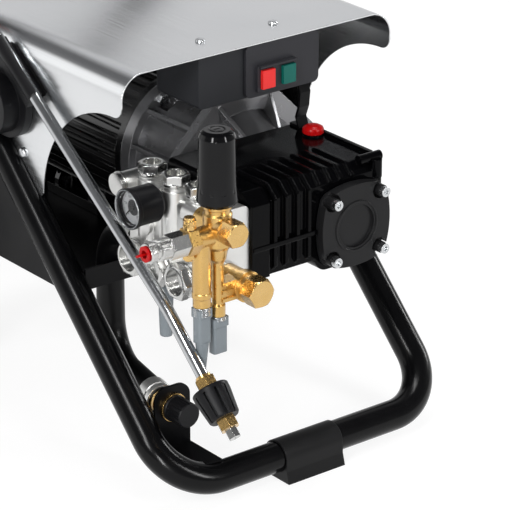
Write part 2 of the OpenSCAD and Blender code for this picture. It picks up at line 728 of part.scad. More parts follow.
// Socket-head screws of the bearing cover
module socket_bolts() {
  color("#c8cacc") at_lid_screws() difference() {
    union() {
      rod_y(0, boss_y - 6, boss_y - gap, 0, 5.6);
      rod_y(0, boss_y - 1, case_y0 + 12, 0, 3);
    }
    hex_y(0, boss_y - 7, boss_y - 3, 0, 5);
  }
}
module oil_cap() {
  z0 = seat_z + gap;
  color("#c8181c") difference() {
    union() {
      rod_z(oil_x, oil_y, case_top - 8, z0 + 1, 8);
      turn_z(oil_x, oil_y) polygon([
        [0, z0], [11, z0], [12, z0 + 1], [12, z0 + 5], [11, z0 + 7], [7.5, z0 + 9], [4, z0 + 9.8], [0, z0 + 10]
      ]);
    }
    for (i = [0:11]) translate([oil_x, oil_y, z0 - 1]) rotate(i * 30) translate([12.6, 0, 0]) cylinder(h = 7, r = 1.2, $fn = 16);
  }
}

// Cast head: delivery valves stand on top, suction valves look to the left
module pump_head() {
  color("#b9bcc0") difference() {
    union() {
      plate_xz(head_y0, head_y1) difference() {
        round_rect(head_x0, head_z0, head_x1, head_z1, 9);
        translate([head_x1 - 9, head_z0 - 1]) square([10, 8]);
      }
      for (i = [0:2]) {
        y = plunger_y(i);
        rod_z(valve_x, y, head_z0 + 12, valve_top - 4, valve_r);
        rod_z(valve_x, y, valve_top - 6, valve_top, valve_r - 2);
        rod_x(suction_face, head_x0 + 4, y, suction_z, suction_r + 2);
        rod_x(head_x0 - 5, head_x0 + 4, y, suction_z + 34, 13);
      }
      rod_x(gauge_x1 + gap, head_x0 + 4, gauge_y, gauge_z, 9);
      // seats of the unloader
      rod_y(unl_x, head_y0, head_y0 + 24, banjo_z, 11);
      block(unl_x, head_x0 + 8, head_y0, head_y0 + 22, banjo_z - 15, banjo_z + 8);
      rod_y(low_x, head_y0 - 3, head_y0 + 2, low_z, 16);
      // rear suction port and side port
      rod_y(port_x, head_y1 - 2, head_y1 + port_len, port_z, hose_ir + 3);
      in_hose() rod_y(0, port_d - port_len, port_d + 20, hose_rise, hose_ir - fit);
      rod_x(side_port_x, head_x0 + 14, side_port_y, side_port_z, 12);
    }
    for (i = [0:2]) {
      rod_z(valve_x, plunger_y(i), valve_top - 16, valve_top + 1, 10 + fit);
      rod_x(suction_face - 1, suction_face + 14, plunger_y(i), suction_z, 13 + fit);
    }
    rod_y(unl_x, head_y0 - 1, head_y0 + 18, banjo_z, 6 + fit);
    rod_y(low_x, head_y0 - 4, head_y0 + 18, low_z, 7 + fit);
    rod_y(port_x, head_y1 - 20, head_y1 + 1, port_z, hose_ir - 1);
    in_hose() rod_y(0, port_d - port_len, port_d + 21, hose_rise, hose_ir - 3);
  }
}
side_port_x = head_x0 - 16;
side_port_y = case_y1 - 6;
side_port_z = axis_z + 55;
// Blind cap with a brass ring on the spare delivery port
module port_cap() {
  color("#c9cbce") rod_x(side_port_x - 7, side_port_x - gap - 2, side_port_y, side_port_z, 12.5);
  color("#b78a3c") rod_x(side_port_x - gap - 2, side_port_x - gap, side_port_y, side_port_z, 13.5);
}
// Hollow hexagon plugs
module plug_z(x, y, z, af, r) {
  difference() {
    union() {
      rod_z(x, y, z - 12, z + 1, r);
      turn_z(x, y) polygon([
        [0, z + gap], [hex_r(af) - 1.5, z + gap], [hex_r(af) - 0.7, z + 1.5], [hex_r(af) - 0.7, z + 4],
        [hex_r(af) - 1.7, z + 5], [0, z + 5]
      ]);
      intersection() {
        hex_z(x, y, z + 4, z + 14, af, 15);
        turn_z(x, y) polygon([[0, z], [hex_r(af) + 1, z], [hex_r(af) + 1, z + 12], [af / 2 - 1, z + 14], [0, z + 14]]);
      }
    }
    rod_z(x, y, z + 6, z + 15, af / 2 - 3.5);
  }
}
module delivery_plugs() {
  color("#c2c5c8") for (i = [0:2]) plug_z(valve_x, plunger_y(i), valve_top, 27, 10);
}
module suction_plugs() {
  color("#c2c5c8") for (i = [0:2]) translate([suction_face, plunger_y(i), suction_z]) rotate([0, -90, 0])
    rotate(15) plug_z(0, 0, 0, 36, 13);
}

// ---- gauge ---------------------------------------------------------------------------

needle_x = gauge_x0 + 6;
zero_turn = -45;
module gauge_case() {
  color("#161617") difference() {
    turn_x(gauge_y, gauge_z) polygon([
      [0, gauge_x0 + 10], [gauge_r - 4, gauge_x0 + 10], [gauge_r - 4, gauge_x0 + 3], [gauge_r - 2.5, gauge_x0 + 1.5],
      [gauge_r - 1.5, gauge_x0], [gauge_r, gauge_x0 + 1], [gauge_r, gauge_x0 + 5], [gauge_r - 1.5, gauge_x0 + 6],
      [gauge_r - 1.5, gauge_x1 - 6], [gauge_r - 6, gauge_x1 - 1], [8, gauge_x1], [0, gauge_x1]
    ]);
    rod_x(gauge_x0 + 5, gauge_x0 + 16, gauge_y, gauge_z, 1.2);
  }
}
module gauge_dial() {
  color("#e9eaec") difference() {
    rod_x(gauge_x0 + 8.5, gauge_x0 + 10 - gap / 2, gauge_y, gauge_z, gauge_r - 4 - fit);
    rod_x(gauge_x0 + 5, gauge_x0 + 16, gauge_y, gauge_z, 1.2);
  }
}
module gauge_needle() {
  color("#111111") {
    rod_x(needle_x, gauge_x0 + 14, gauge_y, gauge_z, 1.2 - run);
    rod_x(needle_x, needle_x + 1.2, gauge_y, gauge_z, 3);
    // at rest on the zero stop, low on the left of the dial
    plate_yz(needle_x, needle_x + 0.8) translate([gauge_y, gauge_z]) rotate(zero_turn)
      polygon([[-5, -1.3], [gauge_r - 8.5, -0.4], [gauge_r - 8.5, 0.4], [-5, 1.3]]);
  }
}
module gauge_glass() {
  color("#dfe8ea", 0.4) rod_x(gauge_x0 + 3.2, gauge_x0 + 5, gauge_y, gauge_z, gauge_r - 4 - fit);
}

// ---- unloader ------------------------------------------------------------------------

module unloader_body() {
  r = body_d / 2;
  color("#c9963e") difference() {
    union() {
      turn_z(unl_x, unl_y) polygon([
        [0, unl_z - 16], [r - 3, unl_z - 16], [r, unl_z - 12], [r, unl_z + 22], [r - 1.5, unl_z + 24],
        [r - 1.5, knob_z - 6], [r, knob_z - 5], [r, knob_z - 2.5], [r - 3, knob_z - gap - 1], [0, knob_z - gap - 1]
      ]);
      // the two columns with turned collars
      turn_z(col1_x, unl_y) polygon([
        [0, col1_z], [col1_r - 1, col1_z], [col1_r - 1, col1_z + 9], [col1_r, col1_z + 10], [col1_r, col1_z + 15],
        [col1_r - 0.5, col1_z + 16], [col1_r - 0.5, unl_z], [0, unl_z]
      ]);
      turn_z(unl_x, unl_y) polygon([
        [0, col2_z], [col2_r - 1, col2_z], [col2_r - 1, col2_z + 12], [col2_r - 2.5, col2_z + 14],
        [col2_r - 2.5, col2_z + 60], [col2_r, col2_z + 64], [r - 4, unl_z - 15], [0, unl_z - 15]
      ]);
      // outlet arm and its fixed hexagon
      rod_x(arm_end, unl_x, unl_y, unl_z, arm_r);
      hex_x(nut_x, arm_end + eps, unl_y, unl_z, 27, 30);
      // banjo eyes
      rod_y(unl_x, banjo_y, head_y0 - gap, banjo_z, 14);
      rod_y(low_x, banjo_y, head_y0 - 3 - gap, low_z, 15);
      turn_y(low_x, low_z) polygon([[0, banjo_y + 6], [17, banjo_y + 6], [17, banjo_y + 16], [0, banjo_y + 16]]);
      // lower arm with its ribs
      block(unl_x, low_x, unl_y - 7, unl_y + 7, low_z - 9, low_z + 9);
      for (z = [-11, -2, 7]) block(unl_x, low_x, unl_y - 9, unl_y + 9, low_z + z, low_z + z + 4);
    }
    rod_y(unl_x, banjo_y - 1, head_y0, banjo_z, 6 + fit);
    rod_y(low_x, banjo_y - 1, head_y0, low_z, 7 + fit);
    rod_z(unl_x, unl_y, knob_z - 18, knob_z, 5 + run);
  }
}
// Fluted adjusting knob on its spindle
flutes = 10;
module unloader_knob() {
  top = knob_z + knob_h;
  r = knob_d / 2;
  color("#1c1c1e") {
    difference() {
      turn_z(unl_x, unl_y) polygon([
        [0, knob_z], [r - 2, knob_z], [r, knob_z + 3], [r - 1.5, knob_z + 20], [r - 2.5, top - 8],
        [r - 4.5, top - 3], [r - 8, top], [9, top], [8, top - 1.2], [0, top - 1.2]
      ]);
      for (i = [0:flutes - 1]) translate([unl_x, unl_y, knob_z + 14]) rotate(i * 360 / flutes)
        translate([r + 5.5, 0, 0]) cylinder(h = knob_h - 20, r = 7);
    }
    rod_z(unl_x, unl_y, knob_z - 17, knob_z + 1, 5);
  }
}
module banjo_bolts() {
  color("#d0a04a") {
    intersection() {
      hex_y(unl_x, banjo_y - 18, banjo_y - gap, banjo_z, 25, 0);
      turn_y(unl_x, banjo_z) polygon([[0, banjo_y - 18], [12, banjo_y - 18], [15, banjo_y - 16], [15, banjo_y], [0, banjo_y]]);
    }
    rod_y(unl_x, banjo_y - 1, head_y0 + 16, banjo_z, 6);
    intersection() {
      hex_y(low_x, banjo_y - 18, banjo_y - gap, low_z, 29, 0);
      turn_y(low_x, low_z) polygon([[0, banjo_y - 18], [14, banjo_y - 18], [17, banjo_y - 16], [17, banjo_y], [0, banjo_y]]);
    }
    rod_y(low_x, banjo_y - 1, head_y0 + 16, low_z, 7);
  }
}
// Hexagon cap on top of the arm and the small plug under it
module bleed_screw() {
  x = arm_end - 6;
  top = unl_z + 13.5 + gap;
  low = unl_z - 13.5 - gap;
  color("#c9963e") {
    rod_z(x, unl_y, top, top + 4, 7);
    hex_z(x, unl_y, top + 4 - eps, top + 10, 13, 0);
    rod_z(x, unl_y, top + 10 - eps, top + 13, 5.5);
  }
  color("#b5b1a0") {
    hex_z(x - 2, unl_y, low - 5, low, 11, 0);
    rod_z(x - 2, unl_y, low - 7, low - 5 + eps, 4);
  }
}
module outlet_fitting() {
  color("#cfd1d3") difference() {
    union() {
      hex_x(outlet_x1 - 22, outlet_x1, unl_y, unl_z, 24, 30);
      turn_x(unl_y, unl_z) polygon([
        [0, outlet_x0], [10.5, outlet_x0], [11.5, outlet_x0 + 1.5], [11.5, outlet_x0 + 8], [9.5, outlet_x0 + 9],
        [9.5, outlet_x0 + 13], [11.5, outlet_x0 + 14], [11.5, outlet_x1 - 22], [0, outlet_x1 - 22]
      ]);
    }
    rod_x(outlet_x0 - 1, outlet_x1 - 6, unl_y, unl_z, outlet_bore / 2);
  }
}
module outlet_plug() {
  color("#e01f1c") difference() {
    union() {
      rod_x(outlet_x0 - 1, outlet_x0 + 14, unl_y, unl_z, outlet_bore / 2 - fit);
      rod_x(outlet_x0 - 2 - gap, outlet_x0 - gap, unl_y, unl_z, 8.5);
    }
    rod_x(outlet_x0 - 3, outlet_x0 + 10, unl_y, unl_z, 4.5);
  }
  color("#e01f1c") rod_x(outlet_x0 - 12, outlet_x0 + 12, unl_y, unl_z, 1.4);
}
// Pressure switch: grey housing under a threaded collar
module switch_body(x, z, w, d, h, taper) {
  plate_xy(z - h, z - 4) translate([x, unl_y]) round_rect(-w / 2, -d / 2, w / 2, d / 2, 3);
  plate_xy(z - 12, z - 2) translate([x, unl_y]) round_rect(-w / 2 - 1, -d / 2 - 1, w / 2 + 1, d / 2 + 1, 2);
  rod_z(x, unl_y, z - 3, z - gap, 8);
  if (taper > 0) turn_z(x, unl_y) polygon([[0, z - h - taper], [4, z - h - taper], [7.5, z - h + 1], [0, z - h + 1]]);
}
module front_switch() { color("#8d9397") switch_body(unl_x, col2_z, 18, 11, 42, 0); }
module rear_switch() { color("#8d9397") switch_body(col1_x, col1_z, 16, 13, 41, 31); }
module thermal_valve() {
  x = head_x0 - 6;
  z = suction_z - suction_r - 2;
  y = plunger_y(1);
  color("#a9adb0") {
    hex_z(x, y, z - 10, z - gap, 19);
    turn_z(x, y) polygon([[0, z - 60], [6.5, z - 60], [7, z - 58], [8.5, z - 9], [0, z - 9]]);
  }
}

// ---- cover and control box -----------------------------------------------------------

module cover() {
  h = cover_half;
  r = cover_r;
  low = arch_z - 20;
  color("#c3c6c8") difference() {
    plate_xz(cover_y0, cover_y1) difference() {
      cover_outline(h, r, cover_top, low);
      cover_outline(h - cover_t, r - cover_t, cover_top - cover_t, low - 1);
    }
    // the arch, and the edge that runs just above the legs
    rod_x(-h - 1, h + 1, arch_y, arch_z, arch_r, 96);
    plate_yz(-h - 1, h + 1) polygon([
      [cover_y0 - 1, low - 2], [cover_y1 + 30, low - 2], [cover_y1 + 30, line_z(cover_y1 + 30) + tube_rise],
      [cover_y0 - 1, line_z(cover_y0 - 1) + tube_rise]
    ]);
    plate_yz(-h - 1, h + 1) difference() {
      translate([cover_y0 - 1, corner_z - 2 * corner_r]) square([corner_r + 1, 2 * corner_r]);
      translate([cover_y0 + corner_r, corner_z]) circle(corner_r);
    }
    plate_yz(-h - 1, h + 1) difference() {
      polygon([
        [tip_y, tip_z], [tip_y - 1.5 * tip_r, tip_z], [tip_y - 1.5 * tip_r, tip_z - 3 * tip_r],
        [tip_y + tip_r * sin(rake) + 3, tip_z - 3 * tip_r], [tip_y + tip_r * sin(rake) + 1, tip_z - tip_r * cos(rake) - 1],
        [tip_y + tip_r * sin(rake), tip_z - tip_r * cos(rake)]
      ]);
      translate([tip_y, tip_z]) circle(tip_r);
    }
    for (s = [-1, 1]) rod_x(s * h - 5, s * h + 5, tab_y, tab_z, 3);
    for (x = box_screws) rod_z(x, box_y0 + box_d / 2, cover_top - 5, cover_top + 1, 2.5);
  }
  // rear lip between the legs
  color("#c3c6c8") block(-inner_w + 6, inner_w - 6, cover_y1 - cover_t, cover_y1, cover_top - 34, cover_top - cover_t + eps);
}
module cover_outline(h, r, top, low) {
  translate([-h, low]) square([2 * h, top - r - low]);
  translate([-h + r, low]) square([2 * (h - r), top - low]);
  for (s = [-1, 1]) translate([s * (h - r), top - r]) circle(r, $fn = 64);
}
box_screws = [box_x - 50, box_x + 50];
// Screws at the two side tabs and through the cover into the box
module cover_screws() {
  color("#c9cbce") {
    for (s = [-1, 1]) on_side(s) {
      turn_x(tab_y, tab_z) polygon([
        [0, cover_half - 12], [2.8, cover_half - 12], [2.8, cover_half + gap], [6.5, cover_half + gap],
        [5.5, cover_half + 3], [3.5, cover_half + 4.2], [2, cover_half + 4.2], [2, cover_half + 2], [0, cover_half + 2]
      ]);
    }
  }
}
module control_box() {
  color("#1d1e20") difference() {
    union() {
      plate_xz(box_y0, box_y0 + box_d) round_rect(box_x - box_w / 2, box_z0, box_x + box_w / 2, box_top, 5);
      rod_z(box_x - 40, box_y0 + box_d / 2, box_z0 - 10, box_z0 + 1, 9);
    }
    block(box_x - box_w / 2 + 3, box_x + box_w / 2 - 3, box_y0 + 3, box_y0 + box_d - 3, box_z0 + 3, box_top - 3);
    for (x = [stop_x, start_x]) block(x - 7.5, x + 7.5, box_y0 - 1, box_y0 + 4, button_z - 10, button_z + 10);
    rod_z(box_x - 40, box_y0 + box_d / 2, box_z0 - 11, box_z0 + 4, 5);
  }
}
module switch_plate() {
  y0 = box_y0 - 4;
  color("#17181a") difference() {
    union() {
      plate_xz(y0, box_y0 - gap) round_rect(plate_x0, box_z0, plate_x1, box_top, 7);
      plate_xz(y0 - 4, y0 + 1) round_rect(stop_x - 13, button_z - 15, start_x + 13, button_z + 16, 3);
      // hood over the buttons
      block(stop_x - 11, start_x + 11, y0 - 7, y0 - 3, button_z + 13, button_z + 15.5);
    }
    for (x = [stop_x, start_x]) block(
      x - button_w / 2 - gap, x + button_w / 2 + gap, y0 - 9, box_y0 + 1, button_z - button_h / 2 - gap, button_z + button_h / 2 + gap
    );
  }
}
module push_button(x) {
  y0 = box_y0 - 4 - 4 - button_travel;
  block(x - button_w / 2, x + button_w / 2, y0, box_y0 - gap - button_travel, button_z - button_h / 2, button_z + button_h / 2);
  block(x - 6.5, x + 6.5, box_y0 - gap - button_travel - eps, box_y0 + 3.5, button_z - 9, button_z + 9);
}
module stop_button() { color("#d92a2a") push_button(stop_x); }
module start_button() { color("#1d7a66") push_button(start_x); }
// Folded strip from the box down to the crankcase
module box_bracket() {
  x1 = box_x + box_w / 2 - 2;
  y0 = case_y1 - 18;
  z0 = case_top + gap;
  z1 = box_z0 - gap;
  color("#141415") plate_yz(x1 - 14, x1) polygon([
    [y0, z0], [y0 + 17, z0], [y0 + 17, z0 + 3], [y0 + 4, z0 + 3], [y0 + 8, z0 + 12], [y0 + 3, z0 + 26],
    [y0 + 1, z1 - 16], [y0 + 6, z1 - 3], [y0 + 32, z1 - 3], [y0 + 32, z1], [y0 + 4, z1], [y0 - 2, z1 - 14],
    [y0, z0 + 25], [y0 + 5, z0 + 12]
  ]);
}

// ---- lance ---------------------------------------------------------------------------

// Local Y runs up the lance from its bend
module on_lance(tilt) { translate([lance_x, lance_y, lance_z]) rotate([tilt, 0, 0]) children(); }
low_tilt = lance_rake + lance_bend;
// A round knuckle, a little wider than the tube, fills the outside of the bend
knuckle = 0.3;
module lance_path(r, over = 0) {
  on_lance(lance_rake) rod_y(0, 0, gun_s + 14 + over, 0, r);
  on_lance(low_tilt) rod_y(0, -96 - over, 0, 0, r);
  translate([lance_x, lance_y, lance_z]) sphere(r + knuckle);
}
module lance_tube() {
  color("#c6c9cb") difference() {
    lance_path(lance_r);
    lance_path(lance_r - 1.5, 1);
  }
}
module lance_nuts() {
  color("#b98a3a") {
    on_lance(low_tilt) difference() {
      union() {
        hex_y(0, -95, -84, 0, 20);
        rod_y(0, -84 - eps, -81, 0, 8.5);
      }
      rod_y(0, -96.5, -80, 0, lance_r + fit);
    }
    on_lance(low_tilt) difference() {
      hex_y(0, -144, -132 - gap, 0, 19, 0);
      rod_y(0, -145, -131, 0, 6 + fit);
    }
  }
}
guard_ribs = 10;
module nozzle_guard() {
  r = guard_d / 2;
  color("#1b1b1c") on_lance(low_tilt) difference() {
    turn_y(0, 0) polygon([
      [9, -132], [r - 4.5, -132], [r - 3, -130], [r + 0.3, -104], [r + 0.3, -97.5], [r - 0.7, -96 - gap], [9, -96 - gap]
    ]);
    for (i = [0:guard_ribs - 1]) rotate([0, i * 360 / guard_ribs, 0]) block(r - 4.5, r + 2, -134, -101, -1.3, 1.3);
    rod_y(0, -133, -95, 0, 10);
  }
}
module spray_nozzle() {
  color("#b5b8bb") on_lance(low_tilt) difference() {
    union() {
      rod_y(0, -150, -97, 0, 6);
      rod_y(0, -130, -98, 0, 10 - fit);
      hex_y(0, -155, -144 - gap, 0, 12);
    }
    rod_y(0, -159, -96, 0, 1.5);
  }
}
// Moulded gun: body along the lance, grip turned outwards beside the frame
pivot_s = gun_s + 85;
pivot_z = -9;
pivot_r = 2.5;
module gun_body() {
  color("#1b1c1d") on_lance(lance_rake) rotate([0, grip_roll, 0]) difference() {
    union() {
      turn_y(0, 0) polygon([
        [0, gun_s], [12, gun_s], [15, gun_s + 6], [15, gun_s + 60], [17, gun_s + 80], [17, gun_s + 150],
        [12, gun_s + 158], [0, gun_s + 158]
      ]);
      plate_yz(-13, 13) polygon([
        [gun_s + 108, 0], [gun_s + 150, 0], [gun_s + 176, -108], [gun_s + 172, -118], [gun_s + 146, -112],
        [gun_s + 140, -104]
      ]);
      // trigger guard
      plate_yz(-5, 5) difference() {
        polygon([[gun_s + 66, -8], [gun_s + 120, -8], [gun_s + 150, -96], [gun_s + 142, -104], [gun_s + 78, -62]]);
        polygon([[gun_s + 74, -8], [gun_s + 116, -8], [gun_s + 140, -88], [gun_s + 138, -94], [gun_s + 85, -58]]);
      }
    }
    rod_y(0, gun_s - 1, gun_s + 20, 0, lance_r + fit);
    rod_y(0, gun_s + 148, gun_s + 160, 0, 8);
    // slot of the trigger
    block(-5.5 - gap, 5.5 + gap, gun_s + 70, gun_s + 128, -60, -3);
  }
  // pin of the trigger
  color("#1b1c1d") on_lance(lance_rake) rotate([0, grip_roll, 0]) rod_x(-9, 9, pivot_s, pivot_z, pivot_r);
}
module gun_trigger() {
  p = pivot_s;
  color("#c8181c") on_lance(lance_rake) rotate([0, grip_roll, 0]) plate_yz(-5, 5) difference() {
    union() {
      translate([p, pivot_z]) circle(5.5);
      polygon([[p - 3.8, -12.5], [p + 7, -36], [p + 27, -74], [p + 33, -72], [p + 13, -30], [p + 4.5, -11]]);
    }
    translate([p, pivot_z]) circle(pivot_r + run);
  }
}
// Moulded rest with a clip that grips the lance
holder_s0 = 292;
holder_len = 82;
module lance_holder() {
  x1 = -cover_half - gap;
  clip_r = lance_r + 1.8;
  color("#18191a") difference() {
    union() {
      plate_yz(x1 - 9, x1) union() {
        translate([298, 394]) circle(44);
        translate([330, 380]) circle(30);
        polygon([[268, 426], [330, 425], [352, 400], [352, 380], [322, 350], [285, 356]]);
      }
      plate_yz(x1 - 30, x1 - 8) union() {
        translate([300, 390]) circle(34);
        translate([324, 380]) circle(22);
        polygon([[284, 418], [312, 425], [346, 382], [344, 372], [312, 362], [285, 365]]);
      }
      on_lance(lance_rake) rod_y(0, holder_s0, holder_s0 + holder_len, 0, clip_r);
      on_lance(lance_rake) block(-4, 11, holder_s0, holder_s0 + holder_len, -18, -4);
    }
    on_lance(lance_rake) rod_y(0, holder_s0 - 1, holder_s0 + holder_len + 1, 0, lance_r + fit);
    on_lance(lance_rake) block(-1, 30, holder_s0 - 1, holder_s0 + holder_len + 1, 3, 30);
    block(x1, x1 + 60, 100, 500, 300, 520);
    in_frame() rod_y(-half_w, leg_start, leg_end, 0, tube_r + gap);
  }
}

// ---- water inlet ---------------------------------------------------------------------

bracket_x0 = -inner_w;
bracket_x1 = -122;
module inlet_bracket() {
  z0 = bar_z + tube_r + gap;
  color("#121213") difference() {
    union() {
      plate_xz(inlet_y - 3, inlet_y) union() {
        round_rect(bracket_x0, z0, bracket_x1, inlet_z + 25, 16);
        translate([bracket_x0, z0]) square([bracket_x1 - bracket_x0, 30]);
      }
      block(bracket_x0, bracket_x1, 0, inlet_y, z0, z0 + 3);
    }
    rod_y(inlet_x, inlet_y - 4, inlet_y + 1, inlet_z, spigot_r + fit);
    in_frame() u_end(tube_r + gap);
  }
}
module inlet_fitting() {
  color("#b98a3a") difference() {
    union() {
      rod_y(inlet_x, inlet_y - 29, inlet_y + 12, inlet_z, spigot_r);
      rod_y(inlet_x, inlet_y - 6.5, inlet_y - 3 - gap, inlet_z, 16.3);
      hex_y(inlet_x, inlet_y + gap, inlet_y + 9, inlet_z, 30);
      // barbed tail on the line of the hose
      in_hose() {
        rod_y(0, -6, 26, 0, hose_ir - fit);
        rod_y(0, -6, -gap, 0, hose_or - 1);
      }
    }
    rod_y(inlet_x, inlet_y - 30, inlet_y + 9, inlet_z, 8.5);
  }
}
module inlet_cap() {
  y1 = inlet_y - 6.5 - gap;
  y0 = y1 - 27;
  r = 14.3;
  color("#1a1a1b") difference() {
    turn_y(inlet_x, inlet_z) polygon([
      [0, y0], [r - 1.3, y0], [r, y0 + 1.3], [r, y1 - 3], [r + 1, y1 - 2], [r + 1, y1],
      [spigot_r + fit, y1], [spigot_r + fit, y0 + 3.5], [0, y0 + 3.5]
    ]);
    for (i = [0:15]) translate([inlet_x, 0, inlet_z]) rotate([0, i * 22.5, 0]) rod_y(r + 0.6, y0 - 1, y1 - 6, 0, 1.2, 16);
  }
}
// Plane of the hose: local Y runs level away from the tail, local Z up
module in_hose() { translate([inlet_x, hose_start, inlet_z]) rotate(-hose_head) children(); }
// Hose: level out of the tail, up through the tray, then forward into the head
module hose_path(r, over = 0) {
  in_hose() {
    rod_y(0, -over, hose_up - hose_r, 0, r);
    translate([0, hose_up - hose_r, hose_r]) rotate([90, 0, 90]) rotate(-90) bend(hose_r, r);
    rod_z(0, hose_up, hose_r, hose_rise - hose_r2, r);
    translate([0, hose_up - hose_r2, hose_rise - hose_r2]) rotate([90, 0, 90]) bend(hose_r2, r);
    rod_y(0, hose_end - over, hose_up - hose_r2, hose_rise, r);
  }
}
module suction_hose() {
  color("#151516") difference() {
    hose_path(hose_or);
    hose_path(hose_ir, 1);
  }
}
module hose_clamp(y, z, turn) {
  in_hose() translate([0, y, z]) rotate([0, turn, 0]) difference() {
    union() {
      rod_y(0, 0, clamp_w, 0, hose_or + 1.4);
      block(-8, 8, 0, clamp_w, hose_or + 0.5, hose_or + 7);
      rod_x(-11, 11, clamp_w / 2, hose_or + 4, 3);
    }
    rod_y(0, -1, clamp_w + 1, 0, hose_or + fit);
  }
}
clamp_w = 10;
// Crimped sleeve on the tail, and the screw clamp at the head
module hose_clamps() {
  color("#b9bcbf") {
    in_hose() turn_y(0, 0) polygon([
      [hose_or + fit, 2], [hose_or + 2, 2], [hose_or + 2, 8], [hose_or + 1, 9], [hose_or + 1, 11], [hose_or + 2, 12],
      [hose_or + 2, 27], [hose_or + 1, 28], [hose_or + fit, 28]
    ]);
    hose_clamp(hose_end + 3, hose_rise, 60);
  }
}

front_bar();
left_leg();
right_leg();
handle_bar();
foot_pad();
base_tray();
axle();
left_rim();
right_rim();
left_tyre();
right_tyre();
axle_caps();
motor_housing();
motor_feet();
motor_bolts();
motor_bell();
motor_rotor();
motor_bearings();
cooling_fan();
fan_cowl();
crankcase();
bearing_cover();
socket_bolts();
oil_cap();
pump_head();
delivery_plugs();
suction_plugs();
port_cap();
gauge_case();
gauge_dial();
gauge_needle();
gauge_glass();
unloader_body();
unloader_knob();
banjo_bolts();
bleed_screw();
outlet_fitting();
outlet_plug();
front_switch();
rear_switch();
thermal_valve();
control_box();
switch_plate();
stop_button();
start_button();
box_bracket();
cover();
cover_screws();
lance_holder();
lance_tube();
lance_nuts();
nozzle_guard();
spray_nozzle();
gun_body();
gun_trigger();
inlet_bracket();
inlet_fitting();
inlet_cap();
suction_hose();
hose_clamps();
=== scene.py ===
import math

import bmesh
import bpy
from mathutils import Matrix, Vector


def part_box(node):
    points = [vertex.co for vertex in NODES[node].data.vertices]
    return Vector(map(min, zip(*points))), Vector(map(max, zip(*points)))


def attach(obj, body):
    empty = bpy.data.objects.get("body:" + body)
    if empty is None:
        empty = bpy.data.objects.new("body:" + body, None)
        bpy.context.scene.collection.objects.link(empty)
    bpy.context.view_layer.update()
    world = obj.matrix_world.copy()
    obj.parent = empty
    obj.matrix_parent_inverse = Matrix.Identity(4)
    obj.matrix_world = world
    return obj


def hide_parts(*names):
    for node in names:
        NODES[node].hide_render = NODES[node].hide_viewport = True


bl_info = {
    "name": "Pressure washer finish",
    "version": (1, 0, 0),
    "blender": (4, 5, 0),
    "location": "View3D > Sidebar > Washer",
    "description": "Finishes, fasteners, hose, dial and fine detail of a wheeled pressure washer",
    "category": "Object",
}

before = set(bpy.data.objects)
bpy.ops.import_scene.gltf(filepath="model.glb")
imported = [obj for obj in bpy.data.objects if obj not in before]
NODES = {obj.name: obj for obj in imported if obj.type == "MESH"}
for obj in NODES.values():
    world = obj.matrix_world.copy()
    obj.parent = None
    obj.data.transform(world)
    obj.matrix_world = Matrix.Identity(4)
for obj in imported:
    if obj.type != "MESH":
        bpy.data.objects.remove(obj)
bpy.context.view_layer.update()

# ---- helpers --------------------------------------------------------------------------


def linear(code):
    """An sRGB hex colour as the linear RGBA that Blender's sockets take."""
    parts = [int(code[i : i + 2], 16) / 255 for i in (1, 3, 5)]
    return [c / 12.92 if c <= 0.04045 else ((c + 0.055) / 1.055) ** 2.4 for c in parts] + [1.0]


def add(tree, kind, feeds=None, **settings):
    """Adds one node. Settings are its attributes; feeds are its sockets, as values or as driving outputs."""
    made = tree.nodes.new(kind)
    for name, value in settings.items():
        setattr(made, name, value)
    for socket, value in (feeds or {}).items():
        if isinstance(value, bpy.types.NodeSocket):
            tree.links.new(value, made.inputs[socket])
        else:
            made.inputs[socket].default_value = value
    return made


def per(size_mm):
    """The scale of a pattern whose features are size_mm across."""
    return 1000.0 / size_mm


# Where nearly all values of a noise texture lie
NOISE_SPAN = (0.3, 0.7)


def blend(tree, share, first, second):
    """The colour that lies between two others, by a share from 0 to 1."""
    return add(tree, "ShaderNodeMix", {0: share, 6: first, 7: second}, data_type="RGBA").outputs[2]


def carried(tree, value, start, end, shape="LINEAR"):
    """Carries a value over from one range to another."""
    span = {"Value": value, "From Min": start[0], "From Max": start[1], "To Min": end[0], "To Max": end[1]}
    return add(tree, "ShaderNodeMapRange", span, interpolation_type=shape).outputs[0]


def blank(name):
    """A material with only a Principled shader: its tree, the shader and the object coordinates."""
    material = bpy.data.materials.new(name)
    material.use_nodes = True
    tree = material.node_tree
    tree.nodes.clear()
    shader = add(tree, "ShaderNodeBsdfPrincipled")
    add(tree, "ShaderNodeOutputMaterial", {"Surface": shader.outputs[0]})
    place = add(tree, "ShaderNodeTexCoord").outputs["Object"]
    return material, tree, shader, place


def wire(tree, shader, **sockets):
    """Sets or links the shader's sockets, written with underscores for spaces."""
    for name, value in sockets.items():
        socket = shader.inputs[name.replace("_", " ")]
        if isinstance(value, bpy.types.NodeSocket):
            tree.links.new(value, socket)
        else:
            socket.default_value = value


